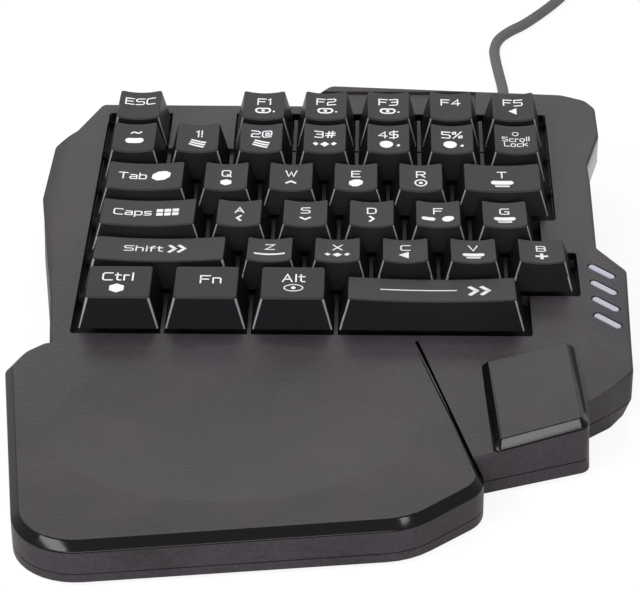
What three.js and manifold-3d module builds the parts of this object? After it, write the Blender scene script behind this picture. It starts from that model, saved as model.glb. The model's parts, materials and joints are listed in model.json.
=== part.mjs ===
// A one-handed gaming keypad: 35 sliding keys over a rubber dome sheet, in a two-part case
// with a raised palm rest, a thumb pad, four light bars and a lead with a USB plug.
// Millimetres. X runs right, Y to the rear, Z up. The keypad stands on Z = 0.
import * as THREE from 'three';
import { mergeVertices } from 'three/addons/utils/BufferGeometryUtils.js';
import loadManifold from 'manifold-3d';

const wasm = await loadManifold();
wasm.setup();

// Driving sizes of the case
const keyPitch = 19.05;
const leftMargin = 16.9;
const rightMargin = 15.0;
const rearMargin = 18.9;
const palmLength = 96;
const deckTilt = THREE.MathUtils.degToRad(6);
const panelRoom = 0.47;
const frontTilt = THREE.MathUtils.degToRad(3.5);
const bendOffset = 2;
const palmFrontHeight = 12.3;
const palmTilt = THREE.MathUtils.degToRad(2.07);
const thumbHeight = 15;
const thumbRoll = THREE.MathUtils.degToRad(3.4);
const thumbPitch = THREE.MathUtils.degToRad(2.6);
const blockBevelWidth = 2;
const wallThickness = 2.2;
const deckThickness = 2;
const wallDraftWidth = 0.5;
const uprightWallHeight = 9.2;
const baseClearance = 1.2;
const floorThickness = 1.8;
const seamHeight = 5.9;
const seamSlope = 0.022;
const seamGap = 0.3;
const fitGap = 0.3;
const cutOverrunLength = 5;
const leastCornerRadius = 0.3;
const tightCornerRadius = 3.5;
const wideCornerRadius = 9;

// Driving sizes of the keys
const keyGap = 1.8;
const keyTravelLength = 3.2;
const ribWidth = 1.1;
const fieldMargin = 1;
const capBaseHeight = 0.1;
const capHeight = 9;
const capSideInset = 2.3;
const capFrontInset = 2.3;
const capBackInset = 0.6;
const capDishDepth = 0.9;
const capCornerRadius = 1;
const capWallThickness = 1.2;
const capRoofThickness = 1.3;
const stemWidth = 4.6;
const hookLength = 0.7;
const hookWidth = 3;
const hookHeight = 0.6;

// Driving sizes of the layers under the keys, along the deck's normal
const skirtWallThickness = 1.2;
const skirtDepth = 3.9;
const plateThickness = 1.2;
const plateMargin = 2;
const sleeveWallThickness = 1;
const sleeveHeight = 2.6;
const domeRadius = 4.6;
const domeTopRadius = 2.8;
const domeWallThickness = 0.8;
const domeSpareHeight = 0.5;
const sheetThickness = 0.6;
const membraneThickness = 0.3;
const panelThickness = 0.8;

// Driving sizes of the stabiliser wires
const wireRadius = 0.6;
const wireArmLength = 10;
const wireEyeHeight = 4.2;
const wireOffset = 5;
const wireHookLength = 3;
const wireEndInset = 5.4;
const clipOffset = 8;
const clipWidth = 3;
const clipHeight = 2.6;
const eyeWallThickness = 0.7;
const eyeThickness = 1.6;
const eyeSlotLength = 2.6;

// Driving sizes of the light bars, the inset panel and the palm rest's dish
const barWidth = 2;
const barCount = 4;
const barSpacing = 7.9;
const barHeight = 2.3;
const lensThickness = 1.2;
const lensMargin = 0.9;
const lensStripShare = 0.5;
const panelDepth = 0.8;
const dishDepth = 2.4;
const dishTilt = THREE.MathUtils.degToRad(7.5);

// Driving sizes of the fasteners, pads and board
const bossRadius = 3;
const baseBossRadius = 4;
const baseBossHeight = 7;
const screwHeadRadius = 2.7;
const screwHeadHeight = 2.3;
const screwRadius = 1.4;
const screwTipHeight = 9.8;
const screwSlotDepth = 1;
const screwSlotWidth = 0.8;
const counterboreDepth = 3.8;
const padLength = 24;
const padWidth = 8;
const padHeight = 1.5;
const padRecessDepth = 0.6;
const ribThickness = 1.6;
const boardLength = 38;
const boardWidth = 20;
const boardThickness = 1.6;
const boardPostHeight = 4;
const boardPostRadius = 2;
const chipWidth = 7;
const chipHeight = 1.2;
const connectorLength = 9;
const connectorWidth = 4;
const connectorHeight = 3;

// Driving sizes of the lead and its plug
const cableDiameter = 3.8;
const cableStepLength = 9;
const floorGap = 0.1;
const reliefNeckRadius = 3.5;
const reliefFlangeRadius = 5;
const reliefFlangeThickness = 1.5;
const reliefCollarRadius = 4.6;
const reliefCollarThickness = 1.2;
const reliefTipRadius = 2.6;
const reliefLength = 16;
const coilLayers = 4;
const coilRadius = 20.5;
const coilGap = 0.5;
const wholeTurns = 10;
const coilStart = THREE.MathUtils.degToRad(20);
const coilLeave = THREE.MathUtils.degToRad(90);
const tailLength = 46;
const tailLevelLength = 9;
const tieWidth = 6;
const tieThickness = 0.6;
const tieClearance = 0.8;
const tiePlace = THREE.MathUtils.degToRad(-80);
const plugLength = 26;
const plugWidth = 15;
const plugThickness = 8;
const plugNeckLength = 6;
const plugNeckRadius = 3;
const shellLength = 11.8;
const shellWidth = 12;
const shellThickness = 4.5;
const shellWallThickness = 0.35;
const tongueThickness = 1.8;
const tongueLength = 9;
const tongueRootLength = 2;

// Counts of facets
const cornerSteps = 4;
const wideCornerSteps = 7;
const tightCornerSteps = 2;
const domeSides = 6;
const roundSides = 12;
const bossSides = 8;
const cableSides = 8;
const coilSides = 6;
const coilStepsPerTurn = 24;
const dishSides = 28;
const innerDishSides = 14;

// Worked-out sizes of the whole
const rowUnits = [6.5, 7.25, 6.75, 7, 7, 7];
const widestRow = Math.max(...rowUnits);
const rowCount = rowUnits.length;
const bodyWidth = leftMargin + widestRow * keyPitch + rightMargin;
const bodyDepth = palmLength + rowCount * keyPitch * Math.cos(deckTilt) + rearMargin;
const capBase = keyPitch - keyGap;
const seamHalfGap = seamGap / 2;

// Places along the deck's normal, from the deck's surface down
const plateTop = -skirtDepth - fitGap;
const plateLow = plateTop - plateThickness;
const hookTop = plateLow - fitGap;
const hookLow = hookTop - hookHeight;
const domeTop = hookLow - fitGap;
const sheetTop = domeTop - keyTravelLength - domeSpareHeight;
const sheetLow = sheetTop - sheetThickness;
const membraneTop = sheetLow - fitGap;
const membraneLow = membraneTop - membraneThickness;
const panelTop = membraneLow - fitGap;
const panelLow = panelTop - panelThickness;
const supportTop = panelLow - fitGap;
const eyeHeight = plateTop + fitGap + wireRadius + wireEyeHeight;
const wireHeight = plateTop + fitGap + wireRadius;
const eyeRestReach = Math.sqrt(wireArmLength ** 2 - wireEyeHeight ** 2);
const eyePlace = wireOffset - (eyeRestReach + wireArmLength) / 2;
const floorZ = baseClearance + floorThickness;
const deckHeight = floorZ + panelRoom - panelLow * Math.cos(deckTilt);

// Corners of the outlines as seen from above, anticlockwise, each as a share of the width,
// a share of the depth and a corner radius as a share of the width
const deckCornerShares = [
  [0.108, 0.289, 0],
  [0.688, 0.159, 0],
  [0.907, 0.2215, 0.018],
  [0.9135, 0.2905, 0],
  [0.95, 0.3145, 0.035],
  [0.9877, 0.3445, 0.024],
  [1, 0.5547, 0.015],
  [0.9547, 0.6045, 0.018],
  [0.958, 0.757, 0.024],
  [0.957, 0.796, 0.024],
  [0.984, 0.8727, 0.035],
  [0.984, 0.9427, 0.024],
  [0.9677, 0.9637, 0.03],
  [0.924, 0.9785, 0.03],
  [0.4965, 1, 0.018],
  [0.4724, 0.9777, 0.012],
  [0.4618, 0.9453, 0.006],
  [0.0765, 0.9466, 0.012],
  [0.0382, 0.8775, 0],
  [0.004, 0.844, 0.018],
  [0, 0.7196, 0.035],
  [0.0488, 0.49, 0],
  [0.0618, 0.4003, 0],
];
// How far each of the deck's corners stands in at the case's foot, as a share of the width
const footShiftShares = [
  0, 0, 0, 0, 0, 0.013, 0.024, 0.026, 0.028, 0.028, 0.028, 0.028, 0.024, 0.008, 0, 0, 0, 0, 0, 0, 0, 0, 0,
];
const palmCornerShares = [
  [0, 0.3443, 0.024],
  [0.0741, -0.0096, 0.1],
  [0.6376, 0.0446, 0.118],
  [0.7516, 0.12, 0.059],
  [0.6536, 0.4086, 0],
  [0.0524, 0.4029, 0.024],
  [0.0194, 0.3797, 0.047],
];
const thumbCornerShares = [
  [0.7476, 0.3565, 0.012],
  [0.7606, 0.18, 0.009],
  [0.907, 0.2215, 0.018],
  [0.897, 0.3937, 0.009],
];
// The fold of the left edge: two points on the deck and one lowered point on the edge
const foldRearShare = [0.0335, 0.8443];
const foldFrontShare = [0.0476, 0.4965];
const foldEdgeShare = [0, 0.7196];
const foldDepth = 2;
// The sunk corner of the wing: on the deck at its rear, right and left, lowered at its front
const wingCornerShares = [
  [0.9265, 0.4094],
  [1.003, 0.33],
  [0.912, 0.279],
  [0.889, 0.345],
];
const wingDepth = 1.2;
const insetCornerShares = [
  [0.483, 0.9375],
  [0.763, 0.9384],
  [0.766, 0.9826],
  [0.482, 0.9826],
];
// The rearmost bar's ends: shares of the right margin past the keys, and of the rows' length
const barStartShare = [0.3543, 0.286];
const barEndShare = [0.695, 0.2439];
const dishCentreShare = [0.373, 0.2362];
const dishLengthShare = 0.288;
const dishDepthShare = 0.1575;
const dishRingShares = [0.3, 0.6, 0.85, 1];
const dishRoundness = 1.2;
const screwPlaceShares = {
  screw_palm_left: [0.1465, 0.0787],
  screw_palm_right: [0.6406, 0.1225],
  screw_left: [0.0465, 0.7918],
  screw_right: [0.92, 0.855],
  screw_rear: [0.6288, 0.965],
};
const padPlaceShares = {
  pad_palm_left: [0.27, 0.1],
  pad_palm_right: [0.52, 0.09],
  pad_rear_left: [0.2, 0.9],
  pad_rear_right: [0.85, 0.9],
};
const supportPlaceShares = [0.16, 0.36, 0.56, 0.76];
const boardPlaceShare = [0.77, 0.875];
const exitShare = 0.743;

// Keys by row, front row first: name, width in key units, and gaps as a null name
const keyRows = [
  [['key_ctrl', 1.25], ['key_fn', 1.25], ['key_alt', 1.25], ['key_space', 2.75]],
  [['key_shift', 2.25], ['key_z', 1], ['key_x', 1], ['key_c', 1], ['key_v', 1], ['key_b', 1]],
  [['key_caps', 1.75], ['key_a', 1], ['key_s', 1], ['key_d', 1], ['key_f', 1], ['key_g', 1]],
  [['key_tab', 1.5], ['key_q', 1], ['key_w', 1], ['key_e', 1], ['key_r', 1], ['key_t', 1.5]],
  [['key_tilde', 1], ['key_1', 1], ['key_2', 1], ['key_3', 1], ['key_4', 1], ['key_5', 1], ['key_lock', 1]],
  [['key_esc', 1], [null, 1], ['key_f1', 1], ['key_f2', 1], ['key_f3', 1], ['key_f4', 1], ['key_f5', 1]],
];
// Heights of a cap's front and back edges, as shares of the cap height
const rowProfileShares = [
  [0.995, 1.055],
  [0.985, 0.757],
  [0.89, 0.8],
  [0.872, 0.883],
  [1, 1.11],
  [1, 1.11],
];
const spaceProfileShare = [1.015, 0.72];

const materials = {
  caseBlack: { color: 0x38363a, roughness: 0.62, metalness: 0 },
  keyBlack: { color: 0x343336, roughness: 0.5, metalness: 0 },
  innerBlack: { color: 0x1c1c1e, roughness: 0.7, metalness: 0 },
  silicone: { color: 0xb9b9b4, roughness: 0.6, metalness: 0 },
  film: { color: 0xc9d2d6, roughness: 0.3, metalness: 0 },
  diffuser: { color: 0xe6e8ee, roughness: 0.35, metalness: 0 },
  lens: { color: 0xc8c8d6, roughness: 0.3, metalness: 0 },
  board: { color: 0x1f5a34, roughness: 0.5, metalness: 0 },
  steel: { color: 0xa9abad, roughness: 0.35, metalness: 1 },
  nickel: { color: 0xc4c4c2, roughness: 0.25, metalness: 1 },
  rubber: { color: 0x222224, roughness: 0.85, metalness: 0 },
  cable: { color: 0x4a4849, roughness: 0.6, metalness: 0 },
};

const keypad = new THREE.Group();
const body = new THREE.Group();
const deck = new THREE.Group();
const cord = new THREE.Group();
keypad.add(body, cord);
body.add(deck);
deck.position.z = deckHeight;
deck.rotation.x = deckTilt;
deck.updateMatrix();

function place(parent, name, geometry, finish) {
  const mesh = new THREE.Mesh(geometry, new THREE.MeshStandardMaterial(materials[finish]));
  mesh.name = name;
  parent.add(mesh);
  return mesh;
}

// Solids: a closed mesh becomes a solid, and back
function solidOf(geometry) {
  const bare = geometry.clone();
  bare.deleteAttribute('normal');
  bare.deleteAttribute('uv');
  const merged = mergeVertices(bare.index ? bare.toNonIndexed() : bare);
  return new wasm.Manifold(new wasm.Mesh({
    numProp: 3,
    vertProperties: new Float32Array(merged.attributes.position.array),
    triVerts: new Uint32Array(merged.index.array),
  }));
}

function geometryOf(solid) {
  const mesh = solid.getMesh();
  const geometry = new THREE.BufferGeometry();
  geometry.setAttribute('position', new THREE.BufferAttribute(new Float32Array(mesh.vertProperties), 3));
  geometry.setIndex(new THREE.BufferAttribute(new Uint32Array(mesh.triVerts), 1));
  const flat = geometry.toNonIndexed();
  flat.computeVertexNormals();
  return flat;
}

function join(solids) {
  return solids.reduce((whole, next) => whole.add(next));
}

function cut(solid, cutters) {
  return cutters.reduce((rest, next) => rest.subtract(next), solid);
}

// A solid skinned over rings of points, lowest ring first, each anticlockwise from above
function loft(rings, folded = false) {
  const count = rings[0].length;
  const points = rings.flat();
  const faces = [];
  for (let ring = 0; ring + 1 < rings.length; ring += 1) {
    for (let i = 0; i < count; i += 1) {
      const next = (i + 1) % count;
      const low = ring * count;
      const high = low + count;
      faces.push([low + i, low + next, high + next], [low + i, high + next, high + i]);
    }
  }
  const capFaces = folded ? foldedCap(count) : flatCap(rings[0]);
  const top = (rings.length - 1) * count;
  for (const [a, b, c] of capFaces) {
    faces.push([c, b, a], [top + a, top + b, top + c]);
  }
  const geometry = new THREE.BufferGeometry().setFromPoints(points);
  geometry.setIndex(faces.flat());
  return geometry.toNonIndexed();
}

function flatCap(ring) {
  return THREE.ShapeUtils.triangulateShape(ring.map((p) => new THREE.Vector2(p.x, p.y)), []);
}

function foldedCap(count) {
  const faces = [];
  const last = count - 1;
  for (let i = 0; i + 1 < count / 2; i += 1) {
    faces.push([i, i + 1, last - i]);
    if (i + 1 < last - i - 1) faces.push([i + 1, last - i - 1, last - i]);
  }
  return faces;
}

function ringAt(outline, heightAt) {
  return outline.map((p) => new THREE.Vector3(p.x, p.y, heightAt(p.x, p.y)));
}

function prism(outline, low, high) {
  return loft([ringAt(outline, () => low), ringAt(outline, () => high)]);
}

function box(width, depth, low, high) {
  const outline = [[-1, -1], [1, -1], [1, 1], [-1, 1]].map(
    ([sideX, sideY]) => new THREE.Vector2(sideX * width / 2, sideY * depth / 2),
  );
  return prism(outline, low, high);
}

function disc(radius, low, high, sides) {
  const outline = [];
  for (let i = 0; i < sides; i += 1) {
    const angle = (i / sides) * 2 * Math.PI;
    outline.push(new THREE.Vector2(Math.cos(angle) * radius, Math.sin(angle) * radius));
  }
  return prism(outline, low, high);
}

// A round bar between two points, drawn a little past each, for joining at corners
function rod(from, to, radius, overlap, sides) {
  const way = to.clone().sub(from);
  const bar = new THREE.CylinderGeometry(radius, radius, way.length() + overlap * 2, sides);
  const turn = new THREE.Quaternion().setFromUnitVectors(new THREE.Vector3(0, 1, 0), way.clone().normalize());
  bar.applyQuaternion(turn);
  const middle = from.clone().add(to).divideScalar(2);
  return bar.translate(middle.x, middle.y, middle.z);
}

// Outlines: corners with radii, moved in or out, then rounded
function fromShares(shares) {
  return shares.map(([x, y, radiusShare = 0]) => {
    const radius = radiusShare * bodyWidth;
    let steps = cornerSteps;
    if (radius < tightCornerRadius) steps = tightCornerSteps;
    if (radius > wideCornerRadius) steps = wideCornerSteps;
    return { at: new THREE.Vector2(x * bodyWidth - leftMargin, y * bodyDepth - palmLength), radius, steps };
  });
}

function pointAt(share) {
  return fromShares([share])[0].at;
}

function movedCorners(corners, distance) {
  return corners.map((corner, i) => {
    const before = corners[(i + corners.length - 1) % corners.length].at;
    const after = corners[(i + 1) % corners.length].at;
    const into = corner.at.clone().sub(before).normalize();
    const out = after.clone().sub(corner.at).normalize();
    const turn = into.cross(out);
    const normalIn = new THREE.Vector2(into.y, -into.x);
    const normalOut = new THREE.Vector2(out.y, -out.x);
    const way = normalIn.add(normalOut).normalize();
    const stretch = distance / way.dot(normalOut);
    const grown = corner.radius + Math.sign(turn) * distance;
    const radius = corner.radius > 0 ? Math.max(grown, leastCornerRadius) : 0;
    return { at: corner.at.clone().addScaledVector(way, stretch), radius, steps: corner.steps };
  });
}

function rounded(corners) {
  return corners.flatMap((corner, i) => {
    if (corner.radius === 0) return [corner.at.clone()];
    const before = corners[(i + corners.length - 1) % corners.length].at;
    const after = corners[(i + 1) % corners.length].at;
    const toBefore = before.clone().sub(corner.at).normalize();
    const toAfter = after.clone().sub(corner.at).normalize();
    const half = Math.acos(toBefore.dot(toAfter)) / 2;
    const reach = corner.radius / Math.tan(half);
    const middle = toBefore.clone().add(toAfter).normalize();
    const centre = corner.at.clone().addScaledVector(middle, corner.radius / Math.sin(half));
    const start = corner.at.clone().addScaledVector(toBefore, reach).sub(centre);
    const sweep = Math.sign(toAfter.cross(toBefore)) * (Math.PI - half * 2);
    const points = [];
    for (let step = 0; step <= corner.steps; step += 1) {
      const turned = start.clone().rotateAround(new THREE.Vector2(), (sweep * step) / corner.steps);
      points.push(turned.add(centre));
    }
    return points;
  });
}

// Heights of the case's sloping surfaces
const bendPlace = -bendOffset;
const deckZ = (x, y) => deckHeight + y * Math.tan(deckTilt);
const frontZ = (x, y) => deckZ(x, bendPlace) + (y - bendPlace) * Math.tan(frontTilt);
const palmFront = -palmLength;
const palmZ = (x, y) => palmFrontHeight + (y - palmFront) * Math.tan(palmTilt);
const thumbCorner = pointAt(thumbCornerShares[1]);
const thumbZ = (x, y) => thumbHeight + (x - thumbCorner.x) * Math.tan(thumbRoll)
  + (y - thumbCorner.y) * Math.tan(thumbPitch);
const seamZ = (x, y) => seamHeight + y * seamSlope;
const waistZ = (x, y) => Math.max(deckZ(x, y), frontZ(x, y)) - uprightWallHeight;
const skyHeight = deckHeight + bodyDepth;

// The side view of a stretch between two lines of heights, cut across the whole width
function acrossWidth(profile) {
  const reach = bodyWidth + cutOverrunLength;
  const left = -leftMargin - cutOverrunLength;
  const atLeft = profile.map(([y, z]) => new THREE.Vector3(left, y, z));
  const atRight = profile.map(([y, z]) => new THREE.Vector3(left + reach + cutOverrunLength, y, z));
  const count = profile.length;
  const shape = THREE.ShapeUtils.triangulateShape(profile.map(([y, z]) => new THREE.Vector2(y, z)), []);
  const faces = [];
  for (const [a, b, c] of shape) faces.push([c, b, a], [count + a, count + b, count + c]);
  for (let i = 0; i < count; i += 1) {
    const next = (i + 1) % count;
    faces.push([i, next, count + next], [i, count + next, count + i]);
  }
  const geometry = new THREE.BufferGeometry().setFromPoints([...atLeft, ...atRight]);
  geometry.setIndex(faces.flat());
  return solidOf(geometry.toNonIndexed());
}

const nearY = palmFront - cutOverrunLength * 3;
const farY = bodyDepth - palmLength + cutOverrunLength * 2;

function underDeck(drop) {
  return acrossWidth([
    [nearY, -cutOverrunLength],
    [farY, -cutOverrunLength],
    [farY, deckZ(0, farY) - drop],
    [bendPlace, deckZ(0, bendPlace) - drop],
    [nearY, frontZ(0, nearY) - drop],
  ]);
}

function underSeam(shift) {
  return acrossWidth([
    [nearY, -cutOverrunLength],
    [farY, -cutOverrunLength],
    [farY, seamZ(0, farY) + shift],
    [nearY, seamZ(0, nearY) + shift],
  ]);
}

// A raised block with a sloping top and a bevel round it
function block(shares, inset, topZ, drop) {
  const corners = movedCorners(fromShares(shares), -inset);
  const foot = rounded(corners);
  const brim = rounded(movedCorners(corners, -blockBevelWidth));
  return solidOf(loft([
    ringAt(foot, () => -cutOverrunLength),
    ringAt(foot, (x, y) => topZ(x, y) - drop - blockBevelWidth),
    ringAt(brim, (x, y) => topZ(x, y) - drop),
  ]));
}

// The whole case as one solid, or its hollow when it is drawn smaller by a wall
function caseBody(inset, deckDrop, blockDrop) {
  const edge = rounded(movedCorners(fromShares(deckCornerShares), -inset));
  const wide = movedCorners(fromShares(deckCornerShares), wallDraftWidth - inset);
  const base = rounded(wide.map((corner, i) => (
    { ...corner, at: new THREE.Vector2(corner.at.x - footShiftShares[i] * bodyWidth, corner.at.y) }
  )));
  const tall = loft([
    ringAt(base, () => -cutOverrunLength),
    ringAt(base, () => baseClearance),
    ringAt(edge, waistZ),
    ringAt(edge, () => skyHeight),
  ]);
  const deckBlock = solidOf(tall).intersect(underDeck(deckDrop));
  const palmBlock = block(palmCornerShares, inset, palmZ, blockDrop);
  const thumbBlock = block(thumbCornerShares, inset, thumbZ, blockDrop);
  return join([deckBlock, palmBlock, thumbBlock]);
}

// The palm rest's shallow dish, widest at the palm rest's surface
function dish(lowering, sides) {
  const centre = pointAt(dishCentreShare);
  const halfLength = dishLengthShare * bodyWidth;
  const halfDepth = dishDepthShare * bodyDepth;
  const ring = (share, depth) => {
    const points = [];
    for (let i = 0; i < sides; i += 1) {
      const angle = (i / sides) * 2 * Math.PI;
      const at = new THREE.Vector2(Math.cos(angle) * halfLength * share, Math.sin(angle) * halfDepth * share);
      at.rotateAround(new THREE.Vector2(), dishTilt).add(centre);
      points.push(new THREE.Vector3(at.x, at.y, palmZ(at.x, at.y) - depth - lowering));
    }
    return points;
  };
  const rings = dishRingShares.map((share) => ring(share, dishDepth * (1 - share * share) ** dishRoundness));
  rings.push(ring(1, -cutOverrunLength));
  return solidOf(loft(rings));
}

// Cutters for the folded left edge and the wing's sunk corner
function foldCutter() {
  const rear = pointAt(foldRearShare);
  const front = pointAt(foldFrontShare);
  const edge = pointAt(foldEdgeShare);
  const low = new THREE.Vector3(edge.x, edge.y, deckZ(edge.x, edge.y) - foldDepth);
  const rearOn = new THREE.Vector3(rear.x, rear.y, deckZ(rear.x, rear.y));
  const frontOn = new THREE.Vector3(front.x, front.y, deckZ(front.x, front.y));
  const along = rearOn.clone().sub(frontOn);
  const out = low.clone().sub(frontOn);
  const sideways = out.clone().projectOnVector(along).negate().add(out);
  const stretch = 3;
  const corners = [
    frontOn.clone(),
    rearOn.clone().add(along),
    rearOn.clone().add(along).addScaledVector(sideways, stretch),
    frontOn.clone().addScaledVector(sideways, stretch),
  ];
  const high = corners.map((p) => new THREE.Vector3(p.x, p.y, skyHeight));
  return solidOf(loft([corners, high]));
}

function wingCutter() {
  const [rear, right, front, left] = wingCornerShares.map(pointAt);
  const deckAt = (p) => Math.max(deckZ(p.x, p.y), frontZ(p.x, p.y));
  const low = [
    new THREE.Vector3(rear.x, rear.y, deckAt(rear)),
    new THREE.Vector3(left.x, left.y, deckAt(left)),
    new THREE.Vector3(front.x, front.y, deckAt(front) - wingDepth),
    new THREE.Vector3(right.x, right.y, deckAt(right) - wingDepth / 2),
  ];
  const high = low.map((p) => new THREE.Vector3(p.x, p.y, p.z + cutOverrunLength));
  return solidOf(loft([low, high], true));
}

// The key field: cells, the outline round them, and each key's opening
const wireNames = { key_space: 'space_stabiliser', key_shift: 'shift_stabiliser' };
const cells = [];
keyRows.forEach((row, rowIndex) => {
  let along = 0;
  for (const [name, units] of row) {
    const profile = name === 'key_space' ? spaceProfileShare : rowProfileShares[rowIndex];
    if (name) cells.push({ name, units, along, rowIndex, profile });
    along += units;
  }
});

function fieldOutline(margin) {
  const points = [new THREE.Vector2(-margin, -margin)];
  rowUnits.forEach((units, row) => {
    const right = units * keyPitch + margin;
    const before = row === 0 ? units : rowUnits[row - 1];
    const after = row + 1 === rowCount ? units : rowUnits[row + 1];
    const lowShift = row === 0 || before < units ? -margin : margin;
    const highShift = row + 1 === rowCount || after < units ? margin : -margin;
    if (before !== units || row === 0) points.push(new THREE.Vector2(right, row * keyPitch + lowShift));
    if (after !== units || row + 1 === rowCount) {
      points.push(new THREE.Vector2(right, (row + 1) * keyPitch + highShift));
    }
  });
  points.push(new THREE.Vector2(-margin, rowCount * keyPitch + margin));
  return points;
}

// Each opening reaches half a rib from its cell's edge inside the field, and past it outside
function openingOf(cell) {
  const half = ribWidth / 2;
  const left = cell.along * keyPitch;
  const right = left + cell.units * keyPitch;
  const front = cell.rowIndex * keyPitch;
  const back = front + keyPitch;
  const isLast = cell.along + cell.units >= rowUnits[cell.rowIndex];
  const x0 = cell.along === 0 ? left - fieldMargin : left + half;
  const x1 = isLast ? right + fieldMargin : right - half;
  const y0 = cell.rowIndex === 0 ? front - fieldMargin : front + half;
  const y1 = cell.rowIndex + 1 === rowCount ? back + fieldMargin : back - half;
  return [[x0, y0], [x1, y0], [x1, y1], [x0, y1]].map(([x, y]) => new THREE.Vector2(x, y));
}

function onDeck(geometry) {
  return solidOf(geometry.applyMatrix4(deck.matrix));
}

// Light bars: a straight slot with round ends, repeated down the wing
function barOutline(index, grow) {
  const [start, end] = [barStartShare, barEndShare].map(([x, y]) => new THREE.Vector2(
    widestRow * keyPitch + x * rightMargin,
    y * rowCount * keyPitch - index * barSpacing,
  ));
  const way = end.clone().sub(start).normalize();
  const side = new THREE.Vector2(way.y, -way.x).multiplyScalar(barWidth / 2 + grow);
  const points = [];
  for (const [tip, from] of [[end, 0], [start, Math.PI]]) {
    for (let step = 0; step <= cornerSteps; step += 1) {
      const turned = side.clone().rotateAround(new THREE.Vector2(), from + (Math.PI * step) / cornerSteps);
      points.push(turned.add(tip));
    }
  }
  return points;
}

function insetOutline() {
  return insetCornerShares.map(pointAt).map((p) => new THREE.Vector2(p.x, p.y / Math.cos(deckTilt)));
}

// Screws and their bosses
function screwPlaces() {
  return Object.entries(screwPlaceShares).map(([name, share]) => ({ name, at: pointAt(share) }));
}

function moved(geometry, at) {
  return solidOf(geometry.translate(at.x, at.y, 0));
}

// The lead's way out, on the rear wall between two corners of the deck's outline
const exitLeft = pointAt(deckCornerShares[14]);
const exitRight = pointAt(deckCornerShares[13]);
const exit = exitLeft.clone().lerp(exitRight, exitShare);
const exitZ = seamZ(0, exit.y);
const wallOuterY = exit.y + wallDraftWidth;

function exitCutter() {
  const hole = new THREE.CylinderGeometry(
    reliefNeckRadius + fitGap,
    reliefNeckRadius + fitGap,
    wallThickness * 4,
    roundSides,
  );
  return solidOf(hole.translate(exit.x, exit.y - wallThickness / 2, exitZ));
}

// Top shell
function topShell() {
  const outer = cut(caseBody(0, 0, 0), [dish(0, dishSides), foldCutter(), wingCutter()]);
  const hollow = caseBody(wallThickness, deckThickness, wallThickness)
    .subtract(dish(wallThickness, innerDishSides))
    .subtract(foldCutter().translate(0, 0, -deckThickness));
  const skirtOutline = fieldOutline(fieldMargin + skirtWallThickness);
  const skirt = onDeck(prism(skirtOutline, -skirtDepth, -deckThickness / 2));
  const skirtCore = onDeck(prism(fieldOutline(fieldMargin), -skirtDepth - cutOverrunLength, -deckThickness));
  const bosses = screwPlaces().map(({ at }) => (
    moved(disc(bossRadius, baseBossHeight + fitGap, skyHeight, bossSides), at)
  ));
  const bossStock = join(bosses).intersect(caseBody(wallThickness / 2, deckThickness / 2, wallThickness / 2));
  const shell = outer.subtract(hollow).add(skirt.subtract(skirtCore)).add(bossStock);
  const openings = cells.map((cell) => (
    onDeck(prism(openingOf(cell), -skirtDepth - cutOverrunLength, cutOverrunLength))
  ));
  const slots = [];
  for (let i = 0; i < barCount; i += 1) {
    slots.push(onDeck(prism(barOutline(i, fitGap), -deckThickness - cutOverrunLength, cutOverrunLength)));
  }
  const bores = screwPlaces().map(({ at }) => (
    moved(disc(screwRadius + fitGap, 0, screwTipHeight + fitGap, bossSides), at)
  ));
  const inset = onDeck(prism(insetOutline(), -panelDepth, cutOverrunLength));
  return cut(shell, [underSeam(seamHalfGap), ...openings, ...slots, ...bores, inset, exitCutter()]);
}

// Bottom shell: a tray with supports, bosses, pad recesses and board posts
function supports() {
  const front = keyPitch * 0.1;
  const rear = rowCount * keyPitch - front;
  const low = floorZ - floorThickness / 2;
  return supportPlaceShares.map((share) => {
    const x = share * bodyWidth - leftMargin;
    const outline = [
      new THREE.Vector2(x - ribThickness / 2, front),
      new THREE.Vector2(x + ribThickness / 2, front),
      new THREE.Vector2(x + ribThickness / 2, rear),
      new THREE.Vector2(x - ribThickness / 2, rear),
    ];
    const top = (px, py) => deckHeight + py * Math.tan(deckTilt) + supportTop / Math.cos(deckTilt);
    return solidOf(loft([ringAt(outline, () => low), ringAt(outline, top)]));
  });
}

function padOutline(grow) {
  const half = (padLength - padWidth) / 2;
  const points = [];
  for (const side of [1, -1]) {
    for (let step = 0; step <= cornerSteps; step += 1) {
      const angle = (side > 0 ? -0.5 : 0.5) * Math.PI + (Math.PI * step) / cornerSteps;
      const radius = padWidth / 2 + grow;
      points.push(new THREE.Vector2(side * half + Math.cos(angle) * radius, Math.sin(angle) * radius));
    }
  }
  return points;
}

const boardAt = pointAt(boardPlaceShare);
const boardPostShares = [[-0.42, -0.4], [0.42, -0.4], [0.42, 0.4], [-0.42, 0.4]];

function boardPosts(low, high, radius) {
  return boardPostShares.map(([x, y]) => (
    moved(disc(radius, low, high, bossSides), {
      x: boardAt.x + x * boardLength,
      y: boardAt.y + y * boardWidth,
    })
  ));
}

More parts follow.
